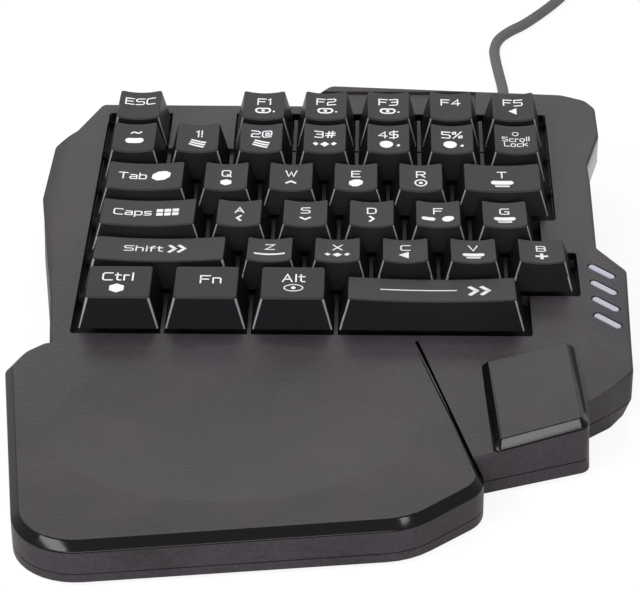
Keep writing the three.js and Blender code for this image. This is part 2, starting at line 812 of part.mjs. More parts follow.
function bottomShell() {
  const hollow = caseBody(wallThickness, deckThickness, wallThickness)
    .intersect(moved(disc(bodyDepth * 2, floorZ, skyHeight, bossSides), { x: 0, y: 0 }));
  const stock = caseBody(0, 0, 0)
    .intersect(underSeam(-seamHalfGap))
    .intersect(moved(disc(bodyDepth * 2, baseClearance, skyHeight, bossSides), { x: 0, y: 0 }));
  const low = floorZ - floorThickness / 2;
  const bosses = screwPlaces().map(({ at }) => (
    moved(disc(baseBossRadius, low, baseBossHeight, bossSides), at)
  ));
  const posts = boardPosts(low, floorZ + boardPostHeight, boardPostRadius);
  const boardRoom = moved(box(boardLength + fitGap * 2, boardWidth + fitGap * 2, 0, skyHeight), boardAt);
  const ribs = cut(join(supports()), [boardRoom]);
  const tray = join([stock.subtract(hollow), ribs, ...bosses, ...posts]);
  const counterbores = screwPlaces().flatMap(({ at }) => [
    moved(disc(screwHeadRadius + fitGap, 0, baseClearance + counterboreDepth, roundSides), at),
    moved(disc(screwRadius + fitGap, 0, baseBossHeight + cutOverrunLength, bossSides), at),
  ]);
  const recesses = Object.values(padPlaceShares).map((share) => (
    moved(prism(padOutline(fitGap), 0, baseClearance + padRecessDepth), pointAt(share))
  ));
  return cut(tray, [...counterbores, ...recesses, exitCutter()]);
}

// Keycap with its stem and hooks; its middle is the middle of its cell
function capRing(halfWidth, front, back, corner, heightAt) {
  const edgeShares = [-1, -0.5, 0, 0.5, 1];
  const flat = halfWidth - corner;
  const points = [[-halfWidth, front + corner]];
  for (const share of edgeShares) points.push([share * flat, front]);
  points.push([halfWidth, front + corner], [halfWidth, back - corner]);
  for (const share of edgeShares) points.push([-share * flat, back]);
  points.push([-halfWidth, back - corner]);
  return points.map(([x, y]) => new THREE.Vector3(x, y, heightAt(x, y)));
}

function wireHalfLength(cell) {
  return (cell.units * keyPitch - keyGap) / 2 - wireEndInset;
}

function keycap(cell) {
  const halfWidth = (cell.units * keyPitch - keyGap) / 2;
  const halfDepth = capBase / 2;
  const topHalf = halfWidth - capSideInset;
  const topFront = -halfDepth + capFrontInset;
  const topBack = halfDepth - capBackInset;
  const [frontHeight, backHeight] = cell.profile.map((share) => share * capHeight);
  const isFlat = cell.rowIndex === 0 && cell.name !== 'key_space';
  const sag = isFlat ? 0 : capDishDepth;
  const slope = (backHeight - frontHeight) / (topBack - topFront);
  const topAt = (x, y) => frontHeight + (y - topFront) * slope - sag * (1 - (x / topHalf) ** 2);
  const outside = loft([
    capRing(halfWidth, -halfDepth, halfDepth, capCornerRadius, () => capBaseHeight),
    capRing(topHalf, topFront, topBack, capCornerRadius, topAt),
  ], true);
  const roofAt = (x, y) => frontHeight + (y - topFront) * slope - sag - capRoofThickness;
  const wall = capWallThickness;
  const inside = (width, front, back) => [
    [wall - width, front + wall],
    [width - wall, front + wall],
    [width - wall, back - wall],
    [wall - width, back - wall],
  ].map(([x, y]) => new THREE.Vector2(x, y));
  const hollow = loft([
    ringAt(inside(halfWidth, -halfDepth, halfDepth), () => capBaseHeight - fitGap),
    ringAt(inside(topHalf, topFront, topBack), roofAt),
  ], true);
  const stem = solidOf(box(stemWidth, stemWidth, hookLow, roofAt(0, 0) + capRoofThickness / 2));
  const hooks = solidOf(box(stemWidth + hookLength * 2, hookWidth, hookLow, hookTop));
  const parts = [solidOf(outside).subtract(solidOf(hollow)), stem, hooks];
  if (!wireNames[cell.name]) return join(parts);
  const slotHalf = wireRadius + fitGap;
  const postDepth = eyeSlotLength + eyeWallThickness * 2;
  const slots = [];
  for (const side of [-1, 1]) {
    const x = side * (wireHalfLength(cell) - eyeThickness);
    const postLow = eyeHeight - slotHalf - eyeWallThickness;
    const post = box(eyeThickness, postDepth, postLow, roofAt(0, 0) + capRoofThickness / 2);
    const slot = box(eyeThickness * 2, eyeSlotLength, eyeHeight - slotHalf, eyeHeight + slotHalf);
    parts.push(moved(post, { x, y: eyePlace }));
    slots.push(moved(slot, { x, y: eyePlace }));
  }
  return cut(join(parts), slots);
}

function cellMiddle(cell) {
  return new THREE.Vector2((cell.along + cell.units / 2) * keyPitch, (cell.rowIndex + 0.5) * keyPitch);
}

// Guide plate: a sleeve for every stem, and clips for the two wires
function guidePlate() {
  const plate = solidOf(prism(fieldOutline(plateMargin), plateLow, plateTop));
  const opening = stemWidth + fitGap * 2;
  const sleeve = opening + sleeveWallThickness * 2;
  const sleeves = cells.map((cell) => (
    moved(box(sleeve, sleeve, plateTop - plateThickness / 2, plateTop + sleeveHeight), cellMiddle(cell))
  ));
  const holes = cells.map((cell) => (
    moved(box(opening, opening, plateLow - cutOverrunLength, plateTop + cutOverrunLength), cellMiddle(cell))
  ));
  const clips = [];
  const grooves = [];
  for (const cell of cells.filter(({ name }) => wireNames[name])) {
    const middle = cellMiddle(cell);
    for (const side of [-1, 1]) {
      const at = { x: middle.x + side * clipOffset, y: middle.y + wireOffset };
      clips.push(moved(box(clipWidth, clipWidth, plateTop - plateThickness / 2, plateTop + clipHeight), at));
      const grooveHalf = wireRadius + fitGap;
      const groove = box(clipWidth * 2, grooveHalf * 2, plateTop + fitGap / 2, wireHeight + grooveHalf);
      grooves.push(moved(groove, at));
    }
  }
  return cut(join([plate, ...sleeves, ...clips]), [...holes, ...grooves]);
}

// Rubber sheet with a hollow dome under every key
function domeSheet() {
  const sheet = solidOf(prism(fieldOutline(-fitGap), sheetLow, sheetTop));
  const cone = (low, high, foot, head) => {
    const ring = (radius, z) => {
      const points = [];
      for (let i = 0; i < domeSides; i += 1) {
        const angle = (i / domeSides) * 2 * Math.PI;
        points.push(new THREE.Vector3(Math.cos(angle) * radius, Math.sin(angle) * radius, z));
      }
      return points;
    };
    return loft([ring(foot, low), ring(head, high)]);
  };
  const domes = cells.map((cell) => (
    moved(cone(sheetTop - sheetThickness / 2, domeTop, domeRadius, domeTopRadius), cellMiddle(cell))
  ));
  const hollowTop = domeTop - domeWallThickness;
  const hollowFoot = domeRadius - domeWallThickness;
  const hollowHead = domeTopRadius - domeWallThickness;
  const hollows = cells.map((cell) => (
    moved(cone(sheetLow - fitGap, hollowTop, hollowFoot, hollowHead), cellMiddle(cell))
  ));
  return cut(join([sheet, ...domes]), hollows);
}

// A wire bent into a U, its ends hooked into the cap's eyes; its middle bar is its hinge
function stabiliserWire(half) {
  const at = (x, y, z) => new THREE.Vector3(x, y, z);
  const solids = [rod(at(-half, 0, 0), at(half, 0, 0), wireRadius, wireRadius / 2, domeSides)];
  for (const side of [-1, 1]) {
    const bend = at(side * half, 0, 0);
    const eye = at(side * half, -eyeRestReach, wireEyeHeight);
    const tip = at(side * (half - wireHookLength), -eyeRestReach, wireEyeHeight);
    solids.push(rod(bend, eye, wireRadius, wireRadius / 2, domeSides));
    solids.push(rod(eye, tip, wireRadius, wireRadius / 2, domeSides));
  }
  return join(solids.map(solidOf));
}

// Light bar lens: four bars on one backing strip behind the wing
function lens() {
  const first = barOutline(0, lensMargin);
  const last = barOutline(barCount - 1, lensMargin);
  const points = [...first, ...last];
  const x0 = Math.min(...points.map((p) => p.x));
  const reach = Math.max(...points.map((p) => p.x)) - x0;
  const x1 = x0 + reach * lensStripShare;
  const y0 = Math.min(...points.map((p) => p.y));
  const y1 = Math.max(...points.map((p) => p.y));
  const strip = [[x0, y0], [x1, y0], [x1, y1], [x0, y1]].map(([x, y]) => new THREE.Vector2(x, y));
  const stripTop = -deckThickness - fitGap;
  const solids = [solidOf(prism(strip, stripTop - lensThickness, stripTop))];
  for (let i = 0; i < barCount; i += 1) {
    solids.push(solidOf(prism(barOutline(i, 0), stripTop - lensThickness / 2, stripTop + barHeight)));
  }
  return join(solids);
}

function controllerBoard() {
  const low = floorZ + boardPostHeight + fitGap;
  const high = low + boardThickness;
  const chip = box(chipWidth, chipWidth, high - boardThickness / 2, high + chipHeight);
  const socket = box(connectorLength, connectorWidth, high - boardThickness / 2, high + connectorHeight);
  const socketSpot = { x: boardLength / 4, y: (boardWidth - connectorWidth) / 2 };
  return join([solidOf(box(boardLength, boardWidth, low, high)), solidOf(chip), moved(socket, socketSpot)]);
}

function screw() {
  const headLow = baseClearance + counterboreDepth - fitGap - screwHeadHeight;
  const headHigh = headLow + screwHeadHeight;
  const head = solidOf(disc(screwHeadRadius, headLow, headHigh, roundSides));
  const shank = solidOf(disc(screwRadius, headHigh - screwSlotDepth / 2, screwTipHeight, bossSides));
  const slots = [
    box(screwHeadRadius, screwSlotWidth, headLow - fitGap, headLow + screwSlotDepth),
    box(screwSlotWidth, screwHeadRadius, headLow - fitGap, headLow + screwSlotDepth),
  ];
  return cut(head.add(shank), slots.map(solidOf));
}

// The strain relief is turned about the lead's way out
function strainRelief() {
  const innerFace = -wallThickness - wallDraftWidth - fitGap;
  const outerFace = wallDraftWidth + fitGap;
  const profile = [
    [0, innerFace - reliefFlangeThickness],
    [reliefFlangeRadius, innerFace - reliefFlangeThickness],
    [reliefFlangeRadius, innerFace],
    [reliefNeckRadius, innerFace],
    [reliefNeckRadius, outerFace],
    [reliefCollarRadius, outerFace],
    [reliefCollarRadius, outerFace + reliefCollarThickness],
    [reliefNeckRadius, outerFace + reliefCollarThickness],
    [reliefTipRadius, outerFace + reliefLength],
    [0, outerFace + reliefLength],
  ];
  return new THREE.LatheGeometry(profile.map(([r, y]) => new THREE.Vector2(r, y)), roundSides);
}

// Top and bottom shells
place(body, 'top_shell', geometryOf(topShell()), 'caseBlack');
place(body, 'bottom_shell', geometryOf(bottomShell()), 'caseBlack');

// Keys and the layers under them, in the tilted deck
for (const cell of cells) {
  const cap = place(deck, cell.name, geometryOf(keycap(cell)), 'keyBlack');
  const middle = cellMiddle(cell);
  cap.position.set(middle.x, middle.y, 0);
}
place(deck, 'guide_plate', geometryOf(guidePlate()), 'innerBlack');
place(deck, 'rubber_dome_sheet', geometryOf(domeSheet()), 'silicone');
place(deck, 'membrane_sheet', prism(fieldOutline(-fitGap), membraneLow, membraneTop), 'film');
place(deck, 'backlight_panel', prism(fieldOutline(-fitGap), panelLow, panelTop), 'diffuser');
place(deck, 'light_bar_lens', geometryOf(lens()), 'lens');
for (const cell of cells.filter(({ name }) => wireNames[name])) {
  const wire = place(deck, wireNames[cell.name], geometryOf(stabiliserWire(wireHalfLength(cell))), 'steel');
  const middle = cellMiddle(cell);
  wire.position.set(middle.x, middle.y + wireOffset, wireHeight);
}

// Fasteners, pads and the board, in the case
for (const { name, at } of screwPlaces()) {
  place(body, name, geometryOf(screw()), 'steel').position.set(at.x, at.y, 0);
}
for (const [name, share] of Object.entries(padPlaceShares)) {
  const at = pointAt(share);
  place(body, name, prism(padOutline(0), 0, padHeight), 'rubber').position.set(at.x, at.y, 0);
}
place(body, 'controller_board', geometryOf(controllerBoard()), 'board').position.set(boardAt.x, boardAt.y, 0);
place(body, 'strain_relief', strainRelief(), 'rubber').position.set(exit.x, wallOuterY, exitZ);

// The case's middle stands over the origin
const caseBox = new THREE.Box3();
for (const mesh of body.children.filter((child) => child.isMesh && child.name !== 'strain_relief')) {
  caseBox.expandByObject(mesh);
}
const caseMiddle = caseBox.getCenter(new THREE.Vector3());
body.position.set(-caseMiddle.x, -caseMiddle.y, 0);

// The lead's route over the floor, chosen by hand from the photograph's line
const cableRadius = cableDiameter / 2;
const leadPoints = [
  [53.4, 128.1, 8.8],
  [53.4, 132.1, 8.8],
  [53.6, 139.6, 8.4],
  [54.5, 147.6, 6.6],
  [56.1, 156.6, 4],
  [57.2, 164.6, 2.4],
  [57.7, 172.4, 2],
  [56.9, 185.8, 2],
  [56.2, 197.9, 2],
  [56.2, 207.7, 2],
  [58.2, 216.7, 2],
  [62.5, 224.1, 2],
  [68.2, 231.1, 2],
  [76.6, 244.6, 2],
  [83.2, 257.2, 2],
  [87.3, 268.4, 2],
  [89.3, 279.2, 2.1],
  [88.9, 288.6, 2.6],
  [86.6, 295.9, 2.9],
  [85.4, 299.2, 2.9],
  [84.35, 302.1, 2.9],
];
const coilCentre = new THREE.Vector2(59.9, 293.56);

function sweep(points, radius, sides) {
  const upright = new THREE.Vector3(0, 0, 1);
  const rings = points.map((point, i) => {
    const before = points[Math.max(i - 1, 0)];
    const after = points[Math.min(i + 1, points.length - 1)];
    const way = after.clone().sub(before).normalize();
    const side = upright.clone().cross(way).normalize();
    const up = way.clone().cross(side);
    const ring = [];
    for (let k = 0; k < sides; k += 1) {
      const angle = (k / sides) * 2 * Math.PI;
      const across = side.clone().multiplyScalar(Math.cos(angle) * radius);
      ring.push(point.clone().add(across.addScaledVector(up, Math.sin(angle) * radius)));
    }
    return ring;
  });
  return loft(rings, true);
}

// The coil: a spiral in and out, climbing a layer where it turns back, then a tail down to the plug
const coilPitch = cableDiameter + coilGap;
const coilLow = cableRadius + floorGap + tieThickness + fitGap;
const coilTurns = wholeTurns + (coilLeave - coilStart) / (2 * Math.PI);
const layerTurns = coilTurns / coilLayers;
const climbTurns = 0.25;

function coilPoint(turn) {
  const layer = Math.min(Math.floor(turn / layerTurns), coilLayers - 1);
  const within = turn - layer * layerTurns;
  const inward = layer % 2 === 0 ? within : layerTurns - within;
  const radius = coilRadius + (layerTurns / 2 - inward) * coilPitch;
  let climbed = 0;
  for (let change = 1; change < coilLayers; change += 1) {
    const middle = change * layerTurns;
    climbed += THREE.MathUtils.smoothstep(turn, middle - climbTurns, middle + climbTurns);
  }
  const angle = coilStart + turn * 2 * Math.PI;
  return new THREE.Vector3(
    coilCentre.x + Math.cos(angle) * radius,
    coilCentre.y + Math.sin(angle) * radius,
    coilLow + climbed * coilPitch,
  );
}

const plugHeight = plugThickness / 2 + floorGap;
const coilPoints = [];
const coilSteps = Math.round(coilTurns * coilStepsPerTurn);
for (let step = 0; step <= coilSteps; step += 1) coilPoints.push(coilPoint((step / coilSteps) * coilTurns));
const coilEnd = coilPoints.at(-1);
const tailWay = new THREE.Vector3(-Math.sin(coilLeave), Math.cos(coilLeave), 0);
const tailSteps = Math.round(tailLength / cableDiameter);
for (let step = 1; step <= tailSteps; step += 1) {
  const run = (step / tailSteps) * tailLength;
  const fallen = THREE.MathUtils.smoothstep(run, tailLevelLength, tailLength - cableDiameter);
  const point = coilEnd.clone().addScaledVector(tailWay, run);
  point.z = THREE.MathUtils.lerp(coilEnd.z, plugHeight, fallen);
  coilPoints.push(point);
}
const tailEnd = coilPoints.at(-1);

// The least gap between the coil's turns, measured between points that lie apart along it
function leastCoilGap() {
  const apart = coilStepsPerTurn / 2;
  let least = Infinity;
  const line = new THREE.Line3();
  const nearest = new THREE.Vector3();
  for (let i = 0; i < coilPoints.length; i += 1) {
    for (let k = i + apart; k + 1 < coilPoints.length; k += 1) {
      line.set(coilPoints[k], coilPoints[k + 1]);
      line.closestPointToPoint(coilPoints[i], true, nearest);
      least = Math.min(least, nearest.distanceTo(coilPoints[i]));
    }
  }
  return least - cableDiameter;
}
console.log(`least gap between the coil's turns: ${leastCoilGap().toFixed(2)} mm`);

function leadTube() {
  const path = new THREE.CatmullRomCurve3(leadPoints.map(([x, y, z]) => new THREE.Vector3(x, y, z)));
  const section = new THREE.Shape();
  for (let k = 0; k < cableSides; k += 1) {
    const angle = (k / cableSides) * 2 * Math.PI;
    const corner = [Math.cos(angle) * cableRadius, Math.sin(angle) * cableRadius];
    if (k === 0) section.moveTo(...corner);
    else section.lineTo(...corner);
  }
  section.closePath();
  const steps = Math.round(path.getLength() / cableStepLength);
  return new THREE.ExtrudeGeometry(section, { steps, bevelEnabled: false, extrudePath: path });
}

function coilTie() {
  const halfBundle = (layerTurns / 2) * coilPitch + cableRadius + tieClearance;
  const low = coilLow - cableRadius - fitGap;
  const high = coilLow + (coilLayers - 1) * coilPitch + cableRadius + fitGap;
  const band = box((halfBundle + tieThickness) * 2, tieWidth, low - tieThickness, high + tieThickness);
  return solidOf(band).subtract(solidOf(box(halfBundle * 2, tieWidth * 2, low, high)));
}

// The plug lies along X in its own group: the lead enters at its right, the shell is at its left
function plugBody() {
  const halfThick = plugThickness / 2;
  const bevel = plugThickness / 5;
  const across = [
    [-plugWidth / 2, -halfThick + bevel],
    [-plugWidth / 2 + bevel, -halfThick],
    [plugWidth / 2 - bevel, -halfThick],
    [plugWidth / 2, -halfThick + bevel],
    [plugWidth / 2, halfThick - bevel],
    [plugWidth / 2 - bevel, halfThick],
    [-plugWidth / 2 + bevel, halfThick],
    [-plugWidth / 2, halfThick - bevel],
  ];
  const grip = loft([-plugLength, 0].map((x) => across.map(([y, z]) => new THREE.Vector3(x, y, z))), true);
  const neckEnd = new THREE.Vector3(plugNeckLength, 0, 0);
  const neck = rod(new THREE.Vector3(), neckEnd, plugNeckRadius, 0, roundSides);
  const rootWidth = shellWidth - (shellWallThickness + fitGap) * 2;
  const rootThickness = shellThickness - (shellWallThickness + fitGap) * 2;
  const bar = (length, width, low, high) => {
    const stock = box(length + plugNeckLength, width, low, high);
    return solidOf(stock.translate(-plugLength - length / 2 + plugNeckLength / 2, 0, 0));
  };
  const root = bar(tongueRootLength, rootWidth, -rootThickness / 2, rootThickness / 2);
  const tongue = bar(tongueLength, rootWidth, rootThickness / 2 - tongueThickness, rootThickness / 2);
  return join([solidOf(grip), solidOf(neck), root, tongue]);
}

function plugShell() {
  const middle = -plugLength - fitGap - shellLength / 2;
  const halfThick = shellThickness / 2;
  const halfRoom = halfThick - shellWallThickness;
  const tube = box(shellLength, shellWidth, -halfThick, halfThick);
  const bore = box(shellLength * 2, shellWidth - shellWallThickness * 2, -halfRoom, halfRoom);
  return solidOf(tube).subtract(solidOf(bore)).translate([middle, 0, 0]);
}

place(cord, 'cable_tube', leadTube(), 'cable');
place(cord, 'cable_coil', sweep(coilPoints, cableRadius, coilSides), 'cable');
const tie = place(cord, 'cable_tie', geometryOf(coilTie()), 'rubber');
tie.position.set(
  coilCentre.x + Math.cos(tiePlace) * coilRadius,
  coilCentre.y + Math.sin(tiePlace) * coilRadius,
  0,
);
tie.rotation.z = tiePlace;
const plug = new THREE.Group();
cord.add(plug);
place(plug, 'usb_plug_body', geometryOf(plugBody()), 'rubber');
place(plug, 'usb_plug_shell', geometryOf(plugShell()), 'nickel');
plug.rotation.z = Math.atan2(-tailWay.y, -tailWay.x);
plug.position.copy(tailEnd).addScaledVector(tailWay, fitGap + plugNeckLength);

export default keypad;
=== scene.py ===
import json
import math
from contextlib import contextmanager

import bmesh
import bpy
from mathutils import Matrix, Vector


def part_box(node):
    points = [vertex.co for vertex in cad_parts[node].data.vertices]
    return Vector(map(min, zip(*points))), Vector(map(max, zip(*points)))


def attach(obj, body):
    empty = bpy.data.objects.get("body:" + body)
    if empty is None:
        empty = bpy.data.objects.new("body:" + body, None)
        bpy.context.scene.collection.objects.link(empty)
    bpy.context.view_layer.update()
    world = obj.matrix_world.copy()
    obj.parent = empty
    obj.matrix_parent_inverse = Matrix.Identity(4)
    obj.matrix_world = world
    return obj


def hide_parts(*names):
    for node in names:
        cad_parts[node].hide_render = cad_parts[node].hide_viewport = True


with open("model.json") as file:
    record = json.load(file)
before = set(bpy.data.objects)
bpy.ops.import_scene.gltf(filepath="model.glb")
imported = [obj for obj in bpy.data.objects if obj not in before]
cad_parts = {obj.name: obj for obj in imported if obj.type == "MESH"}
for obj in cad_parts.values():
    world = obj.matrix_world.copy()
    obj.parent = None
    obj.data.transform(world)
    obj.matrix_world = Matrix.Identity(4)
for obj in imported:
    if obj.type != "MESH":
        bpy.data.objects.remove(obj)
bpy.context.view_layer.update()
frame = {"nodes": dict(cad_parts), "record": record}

bl_info = {
    "name": "Gaming keypad",
    "version": (1, 0, 0),
    "blender": (4, 5, 0),
    "location": "View3D > Sidebar > Keypad",
    "description": "Dresses the keypad's frame with its visible surfaces, legends and lead",
    "category": "Object",
}

MM = 0.001

# Sizes of the case, in metres, the same as in the part's source where the solids have them too
PITCH = 19.05 * MM
LEFT_MARGIN = 16.9 * MM
RIGHT_MARGIN = 15.0 * MM
REAR_MARGIN = 18.9 * MM
PALM_LENGTH = 96 * MM
TILT = math.radians(6)
DECK_HEIGHT = 16 * MM
FRONT_TILT = math.radians(3.5)
BEND_Y = -2 * MM
PALM_FRONT_HEIGHT = 12.3 * MM
PALM_TILT = math.radians(2.07)
THUMB_HEIGHT = 15 * MM
THUMB_ROLL = math.radians(3.4)
THUMB_PITCH = math.radians(2.6)
BLOCK_BEVEL = 2 * MM
CASE_FINISHES = ("case", "polish")
PLAIN_LOOK, POLISH_AND_SHADE_LOOK = range(2)
WALL = 2.2 * MM
DECK_THICKNESS = 2 * MM
DRAFT = 0.5 * MM
UPRIGHT_WALL = 9.2 * MM
BASE_CLEARANCE = 1.2 * MM
SEAM_HEIGHT = 5.9 * MM
SEAM_SLOPE = 0.022
SEAM_HALF_GAP = 0.15 * MM
GAP = 0.3 * MM
FLOOR_THICKNESS = 1.8 * MM
FLOOR_Z = BASE_CLEARANCE + FLOOR_THICKNESS
BASE_ROUND = 0.5 * MM
PANEL_DEPTH = 0.8 * MM
DISH_DEPTH = 2.4 * MM
DISH_TILT = math.radians(7.5)
SKIRT_DEPTH = 3.9 * MM
SKIRT_WALL = 1.2 * MM
FIELD_MARGIN = 1 * MM
RIB = 1.1 * MM
CHANNEL_DEPTH = 2.9 * MM
RIB_DROP = 1.3 * MM
FIELD_RADIUS = 0.8 * MM
GROOVE_WIDTH = 2 * MM
GROOVE_TAPER = 0.5
GROOVE_INSET = 0.6 * MM
GROOVE_DEPTH = 0.7 * MM
OPENING_RADIUS = 0.5 * MM
FOLD_DEPTH = 2 * MM
FOLD_REACH = 3
WING_DEPTH = 1.2 * MM
WING_SIDE_DEPTH = 0.02 * MM
DISH_ROUNDNESS = 1.2
BAR_WIDTH = 2 * MM
BAR_SPACING = 7.9 * MM
BAR_COUNT = 4
BAR_EDGE = [(0, 0.35 * MM), (0.12 * MM, 0.15 * MM), (0.35 * MM, 0.05 * MM)]
BAR_STRIP_MARGIN = 0.6 * MM
BAR_STRIP_THICKNESS = 1.2 * MM
BAR_SINK = 0.5 * MM
SCREW_RADIUS = 1.4 * MM
SCREW_TIP = 9.8 * MM
BOSS_RADIUS = 3 * MM
BASE_BOSS_RADIUS = 4 * MM
BASE_BOSS_HEIGHT = 7 * MM
SCREW_HEAD_RADIUS = 2.7 * MM
COUNTERBORE_DEPTH = 3.8 * MM
PAD_LENGTH = 24 * MM
PAD_WIDTH = 8 * MM
PAD_RECESS_DEPTH = 0.6 * MM
SUPPORT_THICKNESS = 1.6 * MM
SUPPORT_TOP = -12.9 * MM
SUPPORT_INSET = 0.1
BOARD_LENGTH = 38 * MM
BOARD_WIDTH = 20 * MM
BOARD_POST_HEIGHT = 4 * MM
BOARD_POST_RADIUS = 2 * MM

# Sizes of the keycaps
KEY_GAP = 1.8 * MM
CAP_BASE = 0.1 * MM
CAP_HEIGHT = 9 * MM
CAP_SIDE = 2.3 * MM
CAP_FRONT = 2.3 * MM
CAP_BACK = 0.6 * MM
CAP_DISH = 0.9 * MM
CAP_BASE_RADIUS = 0.6 * MM
CAP_TOP_RADIUS = 0.9 * MM
CAP_WALL = 1.2 * MM
CAP_ROOF = 1.3 * MM
STEM = 4.6 * MM
HOOK_REACH = 0.7 * MM
HOOK_WIDTH = 3 * MM
HOOK_TOP = -5.7 * MM
HOOK_LOW = -6.3 * MM
EYE_HEIGHT = 0.9 * MM
EYE_Y = -4.54 * MM
EYE_THICKNESS = 1.6 * MM
EYE_SLOT_LENGTH = 2.6 * MM
EYE_SLOT_HEIGHT = 1.8 * MM
EYE_WALL = 0.7 * MM
WIRED_KEYS = ("space", "shift")
# cap_edge is a light colour on the keys' front corner ridges: a painted highlight
CAP_FINISHES = ("cap_side", "cap_top", "legend", "cap_edge")
SIDE_LOOK, TOP_LOOK, PRINT_LOOK, RIDGE_HIGHLIGHT_LOOK = range(4)
WIRE_END_INSET = 5.4 * MM

# Sizes of the lead
CABLE_DIAMETER = 3.8 * MM
FLOOR_GAP = 0.1 * MM
COIL_LAYERS = 4
WHOLE_TURNS = 10
COIL_RADIUS = 20.5 * MM
COIL_GAP = 0.5 * MM
COIL_START = math.radians(20)
COIL_LEAVE = math.radians(90)
TIE_THICKNESS = 0.6 * MM
TAIL_LENGTH = 46 * MM
TAIL_LEVEL_LENGTH = 9 * MM
PLUG_THICKNESS = 8 * MM
COIL_CENTRE = Vector((59.9 * MM, 293.56 * MM, 0))

# The strain relief, in millimetres
RELIEF_FLANGE_RADIUS, RELIEF_FLANGE_THICKNESS = 5, 1.5
RELIEF_RADIUS, RELIEF_TAPER = 3.5, 0.75
RELIEF_COLLAR = [(4.4, 0), (4.6, 0.2), (4.6, 1), (4.4, 1.2)]
RELIEF_RIBS = 6
RELIEF_RIB = [(0.35, 0.05), (0.35, 0.35), (0, 0.5), (0.03, 0.92)]
RELIEF_LENGTH = 16
RELIEF_TIP = [(2.6, -0.2), (2.45, 0), (0, 0)]
RELIEF_SIDES = 32

# The lead's route over the floor, in millimetres, chosen as in the part's source
LEAD_POINTS = [
    (53.4, 128.1, 8.8),
    (53.4, 132.1, 8.8),
    (53.6, 139.6, 8.4),
    (54.5, 147.6, 6.6),
    (56.1, 156.6, 4),
    (57.2, 164.6, 2.4),
    (57.7, 172.4, 2),
    (56.9, 185.8, 2),
    (56.2, 197.9, 2),
    (56.2, 207.7, 2),
    (58.2, 216.7, 2),
    (62.5, 224.1, 2),
    (68.2, 231.1, 2),
    (76.6, 244.6, 2),
    (83.2, 257.2, 2),
    (87.3, 268.4, 2),
    (89.3, 279.2, 2.1),
    (88.9, 288.6, 2.6),
    (86.6, 295.9, 2.9),
    (85.4, 299.2, 2.9),
    (84.35, 302.1, 2.9),
]

# Fineness of the modelling, and where a finish starts and ends
OVERRUN = 5 * MM
BEND_REACH = 0.01 * MM
SLIVER = 0.05 * MM
MERGE_REACH = 0.01 * MM
COPY_MERGE_REACH = 0.002 * MM
LEGEND_MERGE_REACH = 0.001 * MM
RELIEF_MERGE_REACH = 0.005 * MM
FLAT_WITHIN = math.radians(1)
BEVEL_FROM = math.radians(30)
BEVEL_SEGMENTS, ROUND_STEPS = 2, 4
CASE_SMOOTH, SMALL_SMOOTH, CAP_SMOOTH = math.radians(30), math.radians(35), math.radians(40)
SOFT_START, SOFT_SIDE, SOFT_TURN = 0.45, 0.12, 0.2
DISH_RINGS = 18
DISH_SIDES = 96
DISH_FLAT_SHARE = 0.02
NEARLY_WHOLE = 0.999
POLISH_LOW, POLISH_HIGH = 0.2, 0.97
SIDE_GLOSS = 0.9
FINE_DETAIL, FINE_ROUGHNESS, SLOW_DETAIL = 3, 0.6, 2
TINT_FROM, TINT_TO = 0.3, 0.7
GRAIN_HEIGHT = 0.1 * MM
GLOSS_FROM = 80 * MM
ARC_STEP = math.radians(9)
RUN_STEP = 6 * MM
SCREW_EDGE, PAD_EDGE, TIE_EDGE, PLUG_EDGE, SHELL_EDGE = 0.12 * MM, 0.3 * MM, 0.15 * MM, 0.6 * MM, 0.1 * MM
ROUND_SIDES, SMALL_ROUND_SIDES = 24, 16
RIDGE_TURN = 0.4
CAP_ARC_STEPS, CAP_RUN_STEPS, CAP_EDGE_STEPS = 5, 8, 3
CAP_TOP_REACH = 1.2
LIKE_ROWS_FROM = 4
CAP_WALL_SHARES = (0.03, 0.5, 1)
CAP_DISH_SHARES = (0.96, 0.8, 0.6, 0.4, 0.2, 0.04)
LEAD_ROUNDNESS, ROUTE_STEPS = 4, 4
COIL_POINTS_PER_TURN = 48
LAYER_CHANGE = 0.25
TAIL_STEPS = 24
EXIT_SIDES = 32
RING_SIDES = 28
PILL_ROUND = 0.49
LONG_MARK, LONG_MARK_CUTS = 3, 5
CHEVRON_LENGTH, CHEVRON_THICKNESS, CHEVRON_SPREAD, CHEVRON_SLANT = 0.82, 0.26, 0.27, math.radians(38)
MARK_TURNS = {"up": 0, "left": 90, "down": 180, "right": 270}

# The photograph's camera, in millimetres and degrees
CAMERA_PLACE = (14.39, -585.75, 345.31)
CAMERA_TURN = (60.773, 0.295, 1.353)
CAMERA_LENS = 135.3
SENSOR_WIDTH = 36

# The stage, in metres and watts; each lamp with its name, place, aim, size and power
FLOOR_SIZE = 8
CAMERA_NEAR = 0.01
FLOOR_WHITE_SHARE = 0.88
FLOOR_ROUGHNESS, FLOOR_SPECULAR = 0.8, 0.1
WORLD_LEVEL = 0.32
LAMPS = [
    ("Rear soft box", (-0.03, 0.33, 0.5), (-0.03, 0, 0), (0.6, 0.2), 0.8),
    ("Low rear soft box", (0, 0.24, 0.17), (0, 0.07, 0.03), (0.34, 0.05), 0.22),
    ("Left front soft box", (-0.47, -0.46, 0.58), (-0.06, -0.11, 0), (0.56, 0.15), 5.6),
    ("Right front soft box", (0.5, -0.5, 0.8), (0.05, -0.07, 0), (0.15, 0.15), 1.5),
    ("Low front fill", (0, -1.2, 0.5), (0, 0, 0), (1, 0.5), 14),
]

